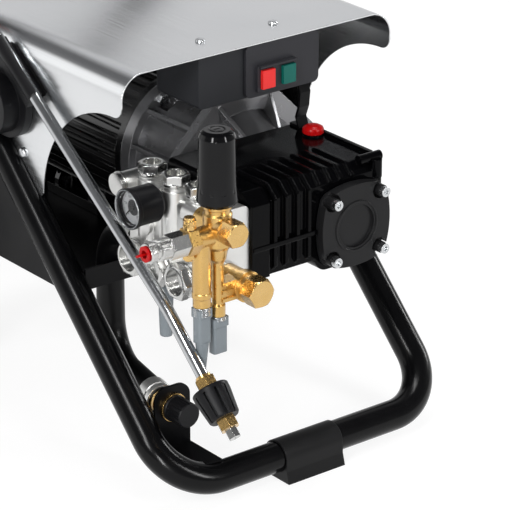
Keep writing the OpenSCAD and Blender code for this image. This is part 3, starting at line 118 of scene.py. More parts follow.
def coated(name, colour, worn, rough, grain_mm, bump, edge_mm=0.8, metal=0.0, blotch_mm=45, shine=0.5):
    """Paint, plastic or a casting: an even skin with a fine grain, slow changes of gloss and soft edges."""
    material, tree, shader, place = blank(name)
    slow = add(tree, "ShaderNodeTexNoise", {"Vector": place, "Scale": per(blotch_mm), "Detail": 3.0})
    fine = add(tree, "ShaderNodeTexNoise", {"Vector": place, "Scale": per(grain_mm), "Detail": 2.0})
    tone = blend(tree, slow.outputs[0], linear(colour), linear(worn))
    gloss = carried(tree, slow.outputs[0], NOISE_SPAN, (rough - 0.04, rough + 0.04))
    relief = {"Height": fine.outputs[0], "Strength": bump, "Distance": 0.0004}
    if edge_mm:
        relief["Normal"] = add(tree, "ShaderNodeBevel", {"Radius": edge_mm / 1000}, samples=4).outputs[0]
    skin = add(tree, "ShaderNodeBump", relief)
    wire(tree, shader, Base_Color=tone, Roughness=gloss, Normal=skin.outputs[0], Metallic=metal,
         Specular_IOR_Level=shine)
    return material


# ---- pieces ---------------------------------------------------------------------------

MM = 0.001


def placed(name, mesh, where, body, finish, replaces=()):
    """Makes a mesh drawn in millimetres into a finished piece with its origin at 0, riding on its body."""
    mesh.transform(Matrix.Scale(MM, 4) @ (where or Matrix.Identity(4)))
    mesh.name = name
    mesh.materials.clear()
    mesh.materials.append(finishes()[finish])
    piece = bpy.data.objects.new(name, mesh)
    bpy.context.scene.collection.objects.link(piece)
    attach(piece, body)
    if replaces:
        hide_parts(*replaces)


def axes(place, across, along, out):
    """The matrix that puts local X, Y and Z along three directions, with the middle at a place."""
    return Matrix([(across[i], along[i], out[i], place[i]) for i in range(3)] + [(0, 0, 0, 1)])


def turned(outline, sides=64):
    """A solid of revolution round Z; the outline is (radius, height) and closes on itself or on the axis."""
    build = bmesh.new()
    rings = []
    for radius, height in outline:
        if radius < 1e-6:
            rings.append([build.verts.new((0.0, 0.0, height))])
        else:
            ring = []
            for i in range(sides):
                angle = math.tau * i / sides
                ring.append(build.verts.new((radius * math.cos(angle), radius * math.sin(angle), height)))
            rings.append(ring)
    closed = len(rings[0]) > 1 and len(rings[-1]) > 1
    pairs = list(zip(rings, rings[1:])) + ([(rings[-1], rings[0])] if closed else [])
    for low, high in pairs:
        for i in range(sides):
            j = (i + 1) % sides
            corners = [low[i % len(low)], low[j % len(low)], high[j % len(high)], high[i % len(high)]]
            corners = list(dict.fromkeys(corners))
            if len(corners) > 2:
                build.faces.new(corners)
    bmesh.ops.recalc_face_normals(build, faces=build.faces)
    mesh = bpy.data.meshes.new("turned")
    build.to_mesh(mesh)
    build.free()
    mesh.shade_smooth()
    mesh.set_sharp_from_angle(angle=math.radians(35))
    return mesh


# The path for a tree that makes its own points
SEED = [(0, 0, 0), (1, 0, 0)]


def grown(path, tree, values):
    """Runs a node tree on a path of points and returns the plain mesh."""
    seed = bpy.data.meshes.new("path")
    seed.from_pydata(path, [(i, i + 1) for i in range(len(path) - 1)], [])
    carrier = bpy.data.objects.new("path", seed)
    bpy.context.scene.collection.objects.link(carrier)
    grower = carrier.modifiers.new("grow", "NODES")
    grower.node_group = tree
    for item in tree.interface.items_tree:
        if item.item_type == "SOCKET" and item.in_out == "INPUT" and item.name in values:
            grower[item.identifier] = values[item.name]
    evaluated = carrier.evaluated_get(bpy.context.evaluated_depsgraph_get())
    mesh = bpy.data.meshes.new_from_object(evaluated)
    bpy.data.objects.remove(carrier)
    return mesh


def joined(meshes, moves=None):
    """One mesh from several, each with its own move."""
    build = bmesh.new()
    for i, mesh in enumerate(meshes):
        if moves:
            mesh.transform(moves[i])
        build.from_mesh(mesh)
    whole = bpy.data.meshes.new("joined")
    build.to_mesh(whole)
    build.free()
    return whole


def open_tree(name, **inputs):
    """A geometry tree with named inputs, its input node and the interface."""
    tree = bpy.data.node_groups.new(name, "GeometryNodeTree")
    tree.interface.new_socket("Geometry", in_out="INPUT", socket_type="NodeSocketGeometry")
    tree.interface.new_socket("Geometry", in_out="OUTPUT", socket_type="NodeSocketGeometry")
    for label, value in inputs.items():
        kind = "NodeSocketInt" if isinstance(value, int) else "NodeSocketFloat"
        socket = tree.interface.new_socket(label, in_out="INPUT", socket_type=kind)
        socket.default_value = value
    return tree, add(tree, "NodeGroupInput")


def close_tree(tree, geometry, finish):
    """Ends a tree in real geometry with its material."""
    real = add(tree, "GeometryNodeRealizeInstances", {"Geometry": geometry})
    painted = add(tree, "GeometryNodeSetMaterial", {
        "Geometry": real.outputs[0], "Material": finishes()[finish]})
    add(tree, "NodeGroupOutput", {"Geometry": painted.outputs[0]})
    return tree


def hose_tree(finish):
    """A closed round skin along a path."""
    tree, given = open_tree("hose_skin", Radius=16.0, Sides=48)
    path = add(tree, "GeometryNodeMeshToCurve", {"Mesh": given.outputs["Geometry"]})
    ring = add(tree, "GeometryNodeCurvePrimitiveCircle", {
        "Resolution": given.outputs["Sides"], "Radius": given.outputs["Radius"]})
    skin = add(tree, "GeometryNodeCurveToMesh", {
        "Curve": path.outputs[0], "Profile Curve": ring.outputs[0], "Fill Caps": True})
    return close_tree(tree, skin.outputs[0], finish)


def thread_tree(finish):
    """Rounded thread crests, one behind the other along Z."""
    tree, given = open_tree("thread_crests", Turns=6, Pitch=1.5, Radius=11.0, Crest=0.5)
    row = add(tree, "GeometryNodeMeshLine", {
        "Count": given.outputs["Turns"],
        "Offset": add(tree, "ShaderNodeCombineXYZ", {"Z": given.outputs["Pitch"]}).outputs[0]})
    circle = "GeometryNodeCurvePrimitiveCircle"
    turn = add(tree, circle, {"Resolution": 56, "Radius": given.outputs["Radius"]})
    section = add(tree, circle, {"Resolution": 6, "Radius": given.outputs["Crest"]})
    crest = add(tree, "GeometryNodeCurveToMesh", {
        "Curve": turn.outputs[0], "Profile Curve": section.outputs[0]})
    copies = add(tree, "GeometryNodeInstanceOnPoints", {
        "Points": row.outputs[0], "Instance": crest.outputs[0]})
    return close_tree(tree, copies.outputs[0], finish)


def dial_tree(finish):
    """Short strokes round an arc, each one pointing at its centre."""
    tree, given = open_tree(
        "dial_strokes", Count=11, Radius=16.0, Start=-0.785, Sweep=4.712, Length=2.4, Width=0.4, Height=0.1)
    arc = add(tree, "GeometryNodeCurveArc", {
        "Resolution": given.outputs["Count"], "Radius": given.outputs["Radius"],
        "Start Angle": given.outputs["Start"], "Sweep Angle": given.outputs["Sweep"]}, mode="RADIUS")
    points = add(tree, "GeometryNodeCurveToPoints", {"Curve": arc.outputs[0]}, mode="EVALUATED")
    place = add(tree, "GeometryNodeInputPosition")
    aim = add(
        tree, "FunctionNodeAlignRotationToVector", {"Vector": place.outputs[0]}, axis="X", pivot_axis="Z")
    size = add(tree, "ShaderNodeCombineXYZ", {
        "X": given.outputs["Length"], "Y": given.outputs["Width"], "Z": given.outputs["Height"]})
    stroke = add(tree, "GeometryNodeMeshCube", {"Size": size.outputs[0]})
    copies = add(tree, "GeometryNodeInstanceOnPoints", {
        "Points": points.outputs[0], "Instance": stroke.outputs[0], "Rotation": aim.outputs[0]})
    return close_tree(tree, copies.outputs[0], finish)


def weld_tree(finish):
    """A row of overlapping drops along a path, each a little different, as a welding torch leaves them."""
    tree, given = open_tree("weld_bead", Step=2.2, Drop=2.6)
    path = add(tree, "GeometryNodeMeshToCurve", {"Mesh": given.outputs["Geometry"]})
    spots = add(tree, "GeometryNodeCurveToPoints", {
        "Curve": path.outputs[0], "Length": given.outputs["Step"]}, mode="LENGTH")
    drop = add(tree, "GeometryNodeMeshUVSphere", {"Segments": 8, "Rings": 5, "Radius": given.outputs["Drop"]})
    spread = add(tree, "FunctionNodeRandomValue", {"Min": 0.88, "Max": 1.12, "Seed": 7}, data_type="FLOAT")
    copies = add(tree, "GeometryNodeInstanceOnPoints", {
        "Points": spots.outputs[0], "Instance": drop.outputs[0], "Scale": spread.outputs[1]})
    smooth = add(tree, "GeometryNodeSetShadeSmooth", {"Geometry": copies.outputs[0]})
    return close_tree(tree, smooth.outputs[0], finish)


def screw_tree(finish):
    """The same screw at every point of a path."""
    tree, given = open_tree("screw_row", Size=1.0)
    chosen = tree.interface.new_socket("Screw", in_out="INPUT", socket_type="NodeSocketObject")
    screw = add(tree, "GeometryNodeObjectInfo", {"Object": given.outputs[chosen.name]})
    points = add(tree, "GeometryNodeMeshToPoints", {"Mesh": given.outputs["Geometry"]})
    copies = add(tree, "GeometryNodeInstanceOnPoints", {
        "Points": points.outputs[0], "Instance": screw.outputs["Geometry"], "Scale": given.outputs["Size"]})
    return close_tree(tree, copies.outputs[0], finish)


def cross_head():
    """A low screw head with a cross recess; its washer face lies at height 0."""
    shank = [(0, -6.0), (2.4, -6.0), (2.4, 0.0)]
    dome = [(5.6, 0.0), (5.6, 0.8), (5.0, 2.1), (3.4, 2.9), (1.6, 3.2), (0, 3.2)]
    head = turned(shank + dome, 40)
    return cut(head, bar_mesh(((-2.9, -0.5, 1.0), (2.9, 0.5, 4.4)), ((-0.5, -2.9, 1.2), (0.5, 2.9, 4.6))))


def numeral(label, size):
    """One printed number as a thin solid, centred on the origin."""
    letters = bpy.data.curves.new("numeral", "FONT")
    letters.body = label
    letters.size = size
    letters.extrude = 0.05
    letters.align_x = "CENTER"
    letters.align_y = "CENTER"
    carrier = bpy.data.objects.new("numeral", letters)
    bpy.context.scene.collection.objects.link(carrier)
    mesh = bpy.data.meshes.new_from_object(carrier.evaluated_get(bpy.context.evaluated_depsgraph_get()))
    bpy.data.objects.remove(carrier)
    return mesh


def cut(solid, tool):
    """Cuts a tool mesh out of a solid mesh."""
    made = []
    for mesh in (solid, tool):
        carrier = bpy.data.objects.new("cut", mesh)
        bpy.context.scene.collection.objects.link(carrier)
        made.append(carrier)
    blade = made[0].modifiers.new("cut", "BOOLEAN")
    blade.operation = "DIFFERENCE"
    blade.solver = "EXACT"
    blade.object = made[1]
    mesh = bpy.data.meshes.new_from_object(made[0].evaluated_get(bpy.context.evaluated_depsgraph_get()))
    for carrier in made:
        bpy.data.objects.remove(carrier)
    return mesh


def bar_mesh(*boxes):
    """Boxes as one mesh, each given by its lowest and highest corners."""
    build = bmesh.new()
    for low, high in boxes:
        middle = [(a + b) / 2 for a, b in zip(low, high)]
        size = [b - a for a, b in zip(low, high)]
        shape = Matrix.Translation(middle) @ Matrix.Diagonal((*size, 1.0))
        bmesh.ops.create_cube(build, size=1.0, matrix=shape)
    mesh = bpy.data.meshes.new("bars")
    build.to_mesh(mesh)
    build.free()
    return mesh


# ---- finishes -------------------------------------------------------------------------


def stainless_sheet():
    """Stainless sheet, rolled bright: long fine lines along the depth and slow cloudy changes of gloss."""
    material, tree, shader, place = blank("stainless_sheet")
    # lines 0.8 mm apart, drawn coarser than the real 0.1 mm so that they show
    drawn = add(tree, "ShaderNodeMapping", {"Vector": place, "Scale": (per(0.8), per(160), per(0.8))})
    lines = add(tree, "ShaderNodeTexNoise", {"Vector": drawn.outputs[0], "Scale": 1.0, "Detail": 3.0})
    cloud = add(tree, "ShaderNodeTexNoise", {"Vector": place, "Scale": per(120), "Detail": 2.0})
    tone = blend(tree, cloud.outputs[0], linear("#D6D8DA"), linear("#E4E5E6"))
    gloss = carried(tree, lines.outputs[0], NOISE_SPAN, (0.17, 0.27))
    soft = add(tree, "ShaderNodeBevel", {"Radius": 0.0006}, samples=4)
    skin = add(tree, "ShaderNodeBump", {
        "Height": lines.outputs[0], "Strength": 0.06, "Distance": 0.0002, "Normal": soft.outputs[0]})
    wire(tree, shader, Base_Color=tone, Roughness=gloss, Normal=skin.outputs[0], Metallic=1.0)
    return material


def bright_metal(name, colour, second, rough, groove_mm, bump, cast=False, coat=0.0):
    """Bare, plated or lacquered metal: turned with fine grooves, or as cast with a pebbled skin."""
    material, tree, shader, place = blank(name)
    slow = add(tree, "ShaderNodeTexNoise", {"Vector": place, "Scale": per(14), "Detail": 4.0})
    detail, twist = (2.0, 0.0) if cast else (5.0, 0.6)
    grain = add(tree, "ShaderNodeTexNoise", {
        "Vector": place, "Scale": per(groove_mm), "Detail": detail, "Distortion": twist})
    tone = blend(tree, slow.outputs[0], linear(colour), linear(second))
    gloss = carried(tree, grain.outputs[0], NOISE_SPAN, (rough - 0.05, rough + 0.08))
    soft = add(tree, "ShaderNodeBevel", {"Radius": 0.0007}, samples=4)
    skin = add(tree, "ShaderNodeBump", {
        "Height": grain.outputs[0], "Strength": bump, "Distance": 0.0003, "Normal": soft.outputs[0]})
    wire(tree, shader, Base_Color=tone, Roughness=gloss, Normal=skin.outputs[0], Metallic=1.0,
         Coat_Weight=coat, Coat_Roughness=0.12)
    return material


def clear_lens():
    """The dial's acrylic lens, a thin flat pane: it bends and mirrors little, so its IOR is kept near 1."""
    material, tree, shader, place = blank("acrylic_lens")
    smear = add(tree, "ShaderNodeTexNoise", {"Vector": place, "Scale": per(9), "Detail": 2.0})
    gloss = carried(tree, smear.outputs[0], (0.0, 1.0), (0.02, 0.08))
    wire(tree, shader, Base_Color=linear("#FFFFFF"), Roughness=gloss, IOR=1.12, Transmission_Weight=1.0)
    return material


FINISHES = {}


def finishes():
    """Makes every finish once."""
    if FINISHES:
        return FINISHES
    # the pattern sizes are in millimetres; real grain is finer, and is drawn coarse enough to show
    FINISHES.update(
        # Powder-coated steel tube, baked smooth: deep black with long soft highlights
        powder_coat=coated("powder_coat", "#050506", "#09090A", 0.21, 2.6, 0.012, edge_mm=0.0, shine=0.17),
        # Powder-coated folded sheet: a flatter black with a faint orange-peel grain
        tray_coat=coated("tray_coat", "#040405", "#08080A", 0.36, 1.4, 0.10, 0.6, shine=0.13),
        # Gloss enamel over the cast aluminium crankcase: near black, with sharp reflections on the ribs
        enamel=coated("gloss_enamel", "#020203", "#050506", 0.10, 2.6, 0.10, 1.8, shine=0.08),
        # Varnished cast aluminium: dark and half metallic, with slow cloudy patches
        bell=coated(
            "gloss_casting", "#6E6E70", "#8C8C8E", 0.25, 4.0, 0.06, 2.0, metal=0.65, blotch_mm=60, shine=0.6),
        # Satin enamel on a die-cast lid: a soft sheen over a fine cast grain
        satin_enamel=coated("satin_enamel", "#131314", "#1B1B1C", 0.34, 1.3, 0.22, 1.0, shine=0.16),
        # Enamelled motor shell: black fins with a broad pale sheen along each one
        motor_enamel=coated("motor_enamel", "#070708", "#0E0E0F", 0.22, 1.8, 0.14, 0.8, shine=0.6),
        # ABS moulded in a textured tool: matt black with a fine grain
        moulded=coated("grained_abs", "#0D0D0F", "#131315", 0.40, 0.9, 0.14, 1.0, shine=0.18),
        # Glass-filled polyamide, moulded: charcoal and dull, its highlights nearly lost
        charcoal=coated("charcoal_polyamide", "#1E1F22", "#26272A", 0.46, 1.0, 0.14, 1.0, shine=0.2),
        # Polyamide plate, moulded: a shade lighter than the box and just as dull
        plate=coated("grey_polyamide_plate", "#222226", "#2A2A2E", 0.44, 1.0, 0.14, 1.0, shine=0.25),
        # ABS moulded in a polished tool: small sharp highlights on deep black
        knob=coated("satin_abs", "#050506", "#08080A", 0.13, 1.1, 0.03, 1.2, shine=0.22),
        # Tyre rubber, vulcanised: dark and dull with a coarse grain
        tyre=coated("tyre_rubber", "#101011", "#171718", 0.58, 2.2, 0.30, 1.2, shine=0.2),
        # Foot rubber, moulded: dull black, worn a little smooth
        foot=coated("foot_rubber", "#0B0B0C", "#111112", 0.42, 2.0, 0.18, 1.6, shine=0.2),
        # Wrapped hose rubber: black with one soft silky line of light
        rubber=coated("hose_rubber", "#040405", "#080809", 0.34, 1.0, 0.14, 0.8, shine=0.2),
        # Polyamide, moulded: an even, cool mid grey, half matt
        grey_plastic=coated("grey_polyamide", "#676E73", "#757C80", 0.38, 1.0, 0.16, 0.8, shine=0.35),
        # Polypropylene, moulded: a deep red with a waxy shine
        red_plastic=coated("red_polypropylene", "#9C0A0B", "#AC0E10", 0.24, 1.6, 0.05, 0.8, shine=0.12),
        # Acrylic, moulded and polished: bright red with a crisp edge
        stop_key=coated("red_acrylic", "#CE2020", "#DC2C2A", 0.20, 2.0, 0.03, 0.7, shine=0.3),
        # Acrylic, moulded and polished: deep bluish green with a crisp edge
        start_key=coated("green_acrylic", "#08524A", "#0D5E54", 0.20, 2.0, 0.03, 0.7, shine=0.2),
        # Painted dial plate: pale grey and flat
        dial=coated("printed_dial", "#AEB0B2", "#B8BABC", 0.55, 1.0, 0.02, 0.2, shine=0.3),
        # Screen print in the middle of the dial: dark grey and flat
        dial_band=coated("grey_print", "#26282A", "#303234", 0.55, 0.8, 0.02, 0.2, shine=0.2),
        # Printing ink: black, without a sheen
        ink=coated("dial_ink", "#0C0C0C", "#121212", 0.5, 1.0, 0.02, 0.1, shine=0.2),
        stainless=stainless_sheet(),
        # Nickel plate over a casting: bright pale grey on a pebbled skin
        nickel_cast=bright_metal("nickel_plated_casting", "#D2D2D0", "#E0E0DE", 0.34, 1.6, 0.20, cast=True),
        # Crimped aluminium: pale and satin, with broken highlights
        ferrule=bright_metal("crimped_aluminium", "#E6E6E4", "#F0F0EE", 0.42, 0.8, 0.16, cast=True),
        # Turned and nickel-plated brass: clean mirror-like steps with fine turning lines
        nickel=bright_metal("turned_nickel", "#BCBCBA", "#CECECC", 0.17, 1.2, 0.05),
        # Zinc-plated steel: cool and bright, a little cloudy
        steel=bright_metal("zinc_plated_steel", "#C4C6C8", "#D4D6D7", 0.24, 1.2, 0.06),
        # Drawn and polished stainless tube: long stripes of light and dark
        lance=bright_metal("stainless_tube", "#B2B4B6", "#C4C6C8", 0.15, 1.5, 0.02),
        # Smoked chrome plate: a grey mirror with a soft edge
        bezel=bright_metal("black_chrome", "#9A9C9E", "#A8AAAC", 0.26, 1.2, 0.04),
        # Hot-forged brass under clear lacquer: warm yellow with a rolling, finely pebbled skin
        brass_cast=bright_metal("forged_brass", "#C09850", "#D2AC68", 0.30, 2.4, 0.035, cast=True, coat=0.7),
        # Turned brass under clear lacquer: a lighter yellow with fine grooves
        brass=bright_metal("turned_brass", "#CAA35E", "#DCB878", 0.24, 1.4, 0.03, coat=0.5),
        lens=clear_lens(),
    )
    return FINISHES


FINISH_OF = {
    "powder_coat": "front_bar left_leg right_leg handle_bar",
    "tray_coat": "base_tray fan_cowl box_bracket inlet_bracket",
    "enamel": "crankcase",
    "bell": "motor_bell",
    "satin_enamel": "bearing_cover",
    "motor_enamel": "motor_housing motor_feet",
    "charcoal": "control_box",
    "plate": "switch_plate",
    "moulded": "left_rim right_rim axle_caps cooling_fan lance_holder gun_body inlet_cap gauge_case "
               "nozzle_guard",
    "knob": "unloader_knob",
    "tyre": "left_tyre right_tyre",
    "foot": "foot_pad",
    "rubber": "suction_hose",
    "grey_plastic": "front_switch rear_switch thermal_valve",
    "red_plastic": "oil_cap outlet_plug gun_trigger",
    "stop_key": "stop_button",
    "start_key": "start_button",
    "dial": "gauge_dial",
    "ink": "gauge_needle",
    "stainless": "cover",
    "nickel_cast": "pump_head",
    "nickel": "delivery_plugs suction_plugs port_cap outlet_fitting spray_nozzle",
    "steel": "axle motor_bolts motor_rotor motor_bearings socket_bolts cover_screws",
    "ferrule": "hose_clamps",
    "lance": "lance_tube",
    "brass_cast": "unloader_body",
    "brass": "banjo_bolts bleed_screw lance_nuts inlet_fitting",
    "lens": "gauge_glass",
}

# ---- settings -------------------------------------------------------------------------


class WasherSettings(bpy.types.PropertyGroup):
    """Sizes and colours that a user would change."""

    floor_size: bpy.props.FloatProperty(
        name="Floor size", description="Side of the studio floor", default=120.0, min=4.0, unit="LENGTH")
    floor_colour: bpy.props.FloatVectorProperty(
        name="Floor colour", description="Colour of the studio floor", subtype="COLOR", size=4,
        default=linear("#F6F6F6"))
    key_power: bpy.props.FloatProperty(
        name="Key light", description="Power that all the soft lights are set from, in watts", default=90.0,
        min=0.0, unit="POWER")
    hose_width: bpy.props.FloatProperty(
        name="Hose width", description="Outer diameter of the suction hose", default=0.032, min=0.02,
        max=0.036, unit="LENGTH")


# ---- studio ---------------------------------------------------------------------------


def make_camera(scene):
    """A long lens from the front left, a little above the object."""
    heading, dip = math.radians(38.2), math.radians(22.8)
    place = (-1.8915, -2.3065, 1.5087)
    level = math.cos(dip)
    ahead = Vector((math.sin(heading) * level, math.cos(heading) * level, -math.sin(dip)))
    right = Vector((math.cos(heading), -math.sin(heading), 0.0))
    up = right.cross(ahead)
    lens = bpy.data.cameras.new("camera")
    lens.sensor_width = 36.0
    # the focal length, in sensor widths
    zoom = 2987 / 510
    lens.lens = lens.sensor_width * zoom
    lens.clip_end = 200.0
    eye = bpy.data.objects.new("camera", lens)
    eye.matrix_world = axes(place, right, up, -ahead)
    scene.collection.objects.link(eye)
    scene.camera = eye
    scene.view_settings.view_transform = "Standard"


def make_floor(scene, settings):
    """A white floor: it glows for the camera and in reflections, and still takes the object's shadow."""
    half = settings.floor_size / 2
    sheet = bpy.data.meshes.new("floor")
    corners = [(x * half, y * half, 0) for x, y in ((-1, -1), (1, -1), (1, 1), (-1, 1))]
    sheet.from_pydata(corners, [], [(0, 1, 2, 3)])
    floor = bpy.data.objects.new("floor", sheet)
    scene.collection.objects.link(floor)
    material = bpy.data.materials.new("studio_floor")
    material.use_nodes = True
    tree = material.node_tree
    tree.nodes.clear()
    matt = add(tree, "ShaderNodeBsdfDiffuse", {"Color": list(settings.floor_colour)})
    glow = add(tree, "ShaderNodeEmission", {"Strength": 1.08})
    rays = add(tree, "ShaderNodeLightPath").outputs
    seen = add(tree, "ShaderNodeMath", {
        0: rays["Is Camera Ray"], 1: rays["Is Transmission Ray"]}, operation="MAXIMUM")
    shown = add(tree, "ShaderNodeMath", {0: seen.outputs[0], 1: rays["Is Glossy Ray"]}, operation="MAXIMUM")
    share = add(tree, "ShaderNodeMath", {0: shown.outputs[0], 1: 0.8}, operation="MULTIPLY")
    both = add(tree, "ShaderNodeMixShader", {0: share.outputs[0], 1: matt.outputs[0], 2: glow.outputs[0]})
    add(tree, "ShaderNodeOutputMaterial", {"Surface": both.outputs[0]})
    floor.data.materials.append(material)


def lit_patch(tree, way, toward, start, full, before, colour):
    """A soft bright patch of the surroundings round one direction, laid over what was there before."""
    angle = add(tree, "ShaderNodeVectorMath", {0: way, 1: toward}, operation="DOT_PRODUCT").outputs["Value"]
    share = carried(tree, angle, (start, full), (0.0, 1.0), "SMOOTHSTEP")
    return blend(tree, share, before, colour)


def make_surroundings(scene):
    """A dim room that darkens upwards, with a broad pale wall behind and a tall bright screen at its left."""
    world = bpy.data.worlds.new("studio")
    scene.world = world
    world.use_nodes = True
    tree = world.node_tree
    tree.nodes.clear()
    way = add(tree, "ShaderNodeTexCoord").outputs["Generated"]
    height = add(tree, "ShaderNodeSeparateXYZ", {0: way}).outputs[2]
    climb = carried(tree, height, (0.0, 0.6), (0.0, 1.0))
    sky = blend(tree, climb, (0.38, 0.38, 0.38, 1.0), (0.13, 0.13, 0.135, 1.0))
    wall = lit_patch(tree, way, (0.57, 0.72, 0.39), 0.74, 0.97, sky, (0.72, 0.72, 0.73, 1.0))
    screen = lit_patch(tree, way, (-0.66, 0.74, 0.12), 0.90, 0.97, wall, (1.25, 1.25, 1.25, 1.0))
    back = add(tree, "ShaderNodeBackground", {"Color": screen})
    add(tree, "ShaderNodeOutputWorld", {"Surface": back.outputs[0]})


# ---- operators ------------------------------------------------------------------------


class WASHER_OT_stage(bpy.types.Operator):
    """Make the camera, the floor and the soft lights"""

    bl_idname = "washer.stage"
    bl_label = "Camera and studio"

    def execute(self, context):
        settings = context.scene.washer
        make_camera(context.scene)
        make_floor(context.scene, settings)
        make_surroundings(context.scene)
        low, middle = (0, 0.1, 0.25), (0, 0.1, 0.3)
        # name, place, aim, width and height in metres, share of the key power
        for name, place, aim, size, share in (
            ("key", (-2.9, -1.2, 2.3), middle, (0.45, 1.8), 0.8),
            ("front", (0.9, -3.2, 2.0), low, (0.35, 1.6), 0.55),
            ("side", (3.2, -0.2, 1.5), low, (0.3, 1.8), 0.35),
            ("low", (-2.3, -2.2, 0.85), (0, 0.1, 0.35), (0.16, 1.0), 0.4),
            ("top", (0.2, 0.5, 3.6), (0, 0.2, 0.3), (2.4, 0.4), 0.6),
        ):
            lamp = bpy.data.lights.new(name, "AREA")
            lamp.shape = "RECTANGLE"
            lamp.size, lamp.size_y = size
            lamp.energy = settings.key_power * share
            light = bpy.data.objects.new(name, lamp)
            light.location = place
            light.rotation_euler = (Vector(aim) - Vector(place)).to_track_quat("-Z", "Y").to_euler()
            context.scene.collection.objects.link(light)
        return {"FINISHED"}


class WASHER_OT_finishes(bpy.types.Operator):
    """Give every part of the frame its finish"""

    bl_idname = "washer.finishes"
    bl_label = "Finishes"

    def execute(self, context):
        made = finishes()
        for finish, names in FINISH_OF.items():
            for name in names.split():
                part = NODES[name]
                part.data.materials.clear()
                part.data.materials.append(made[finish])
        return {"FINISHED"}


class WASHER_OT_hose(bpy.types.Operator):
    """Make the black rubber suction hose, from the inlet up through the tray and forward into the pump"""

    bl_idname = "washer.hose"
    bl_label = "Suction hose"

    def execute(self, context):
        inlet = (-146.0, 75.0, 95.0)
        heading = math.atan2(27.0, 133.0)
        # in the upright plane of the hose: the run, the two bend radii, the height and where it ends
        lead, lower, upper, rise, end = 135.7, 48.0, 60.0, 167.0, 57.1
        quarter = [math.pi / 2 * i / 24 for i in range(25)]
        flat = [(0.0, 0.0)]
        flat += [(lead - lower + lower * math.sin(a), lower - lower * math.cos(a)) for a in quarter]
        flat += [(lead - upper + upper * math.cos(a), rise - upper + upper * math.sin(a)) for a in quarter]
        flat += [(end, rise)]
        path = []
        for along, height in flat:
            step = (along * math.sin(heading), along * math.cos(heading), height)
            path.append([a + b for a, b in zip(inlet, step)])
        skin = grown(path, hose_tree("rubber"), {"Radius": context.scene.washer.hose_width / MM / 2})
        skin.shade_smooth()
        skin.set_sharp_from_angle(angle=math.radians(40))
        placed("hose_skin", skin, None, "chassis", "rubber", ["suction_hose"])
        return {"FINISHED"}


class WASHER_OT_lance(bpy.types.Operator):
    """Bend the bright lance tube in one smooth curve from the nozzle nut up into the gun"""

    bl_idname = "washer.lance"
    bl_label = "Lance tube"

    def execute(self, context):
        low, high, radius = math.radians(42.5), math.radians(35.5), 200.0
        lower_length, upper_length, steps = 96.0, 514.0, 12
        start = Vector((-197.0, -6.0, 246.0))
        down = Vector((0, math.cos(low), math.sin(low)))
        upward = Vector((0, math.cos(high), math.sin(high)))
        reach = radius * math.tan((low - high) / 2)
        first = start - down * reach
        centre = first + Vector((0, math.sin(low), -math.cos(low))) * radius
        path = [start - down * lower_length]
        for i in range(steps + 1):
            angle = low + (high - low) * i / steps
            path.append(centre + Vector((0, -math.sin(angle), math.cos(angle))) * radius)
        path.append(start + upward * upper_length)
        tube = grown(path, hose_tree("lance"), {"Radius": 6.75, "Sides": 40})
        tube.shade_smooth()
        tube.set_sharp_from_angle(angle=math.radians(40))
        placed("lance_pipe", tube, None, "chassis", "lance", ["lance_tube"])
        return {"FINISHED"}


class WASHER_OT_gauge(bpy.types.Operator):
    """Make the bezel, the strokes and the numbers of the pressure gauge"""

    bl_idname = "washer.gauge"
    bl_label = "Gauge dial"

    def execute(self, context):
        low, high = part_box("gauge_dial")
        face = [low[0] / MM, (low[1] + high[1]) / MM / 2, (low[2] + high[2]) / MM / 2]
        outward = axes(face, (0, -1, 0), (0, 0, 1), (-1, 0, 0))
        strokes = dial_tree("ink")
        parts, moves = [], []
        # count, radius, length and width: fine strokes, long strokes, inner ring, outer line
        for count, radius, length, width in (
            (51, 16.6, 1.5, 0.22), (11, 16.0, 2.7, 0.5), (71, 8.9, 1.2, 0.3), (60, 17.3, 0.25, 1.45),
        ):
            parts.append(grown(SEED, strokes, {
                "Count": count, "Radius": radius, "Length": length, "Width": width,
                "Start": math.radians(-45), "Sweep": math.radians(270)}))
            moves.append(Matrix.Identity(4))
        for i in range(6):
            angle = math.radians(225 - 54 * i)
            parts.append(numeral(str(i * 50), 4.0))
            moves.append(Matrix.Translation((12.2 * math.cos(angle), 12.2 * math.sin(angle), 0)))
        placed("dial_print", joined(parts, moves), outward, "chassis", "ink")
        band = turned([(1.6, -0.2), (1.6, 0.08), (8.6, 0.08), (8.6, -0.2)], 48)
        placed("dial_middle", band, outward, "chassis", "dial_band")
        bezel = turned([
            (19.9, 0.0), (19.9, 7.6), (20.5, 8.7), (21.0, 8.9), (21.4, 8.4), (20.9, 7.4), (20.4, 5.5),
            (20.3, 0.0)])
        placed("gauge_bezel", bezel, outward, "chassis", "bezel")
        return {"FINISHED"}


class WASHER_OT_knob(bpy.types.Operator):
    """Make the slotted spindle end in the top of the adjusting knob"""

    bl_idname = "washer.knob"
    bl_label = "Knob spindle"

    def execute(self, context):
        low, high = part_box("unloader_knob")
        top = [(low[0] + high[0]) / MM / 2, (low[1] + high[1]) / MM / 2, high[2] / MM]
        disc = turned([(0, -3.0), (7.4, -3.0), (7.4, -0.5), (6.8, 0.1), (3.4, 0.35), (0, 0.4)], 48)
        slot = bar_mesh(((-4.2, -0.7, -0.9), (4.2, 0.7, 1.5)))
        placed("knob_disc", cut(disc, slot), Matrix.Translation(top), "knob", "knob")
        return {"FINISHED"}


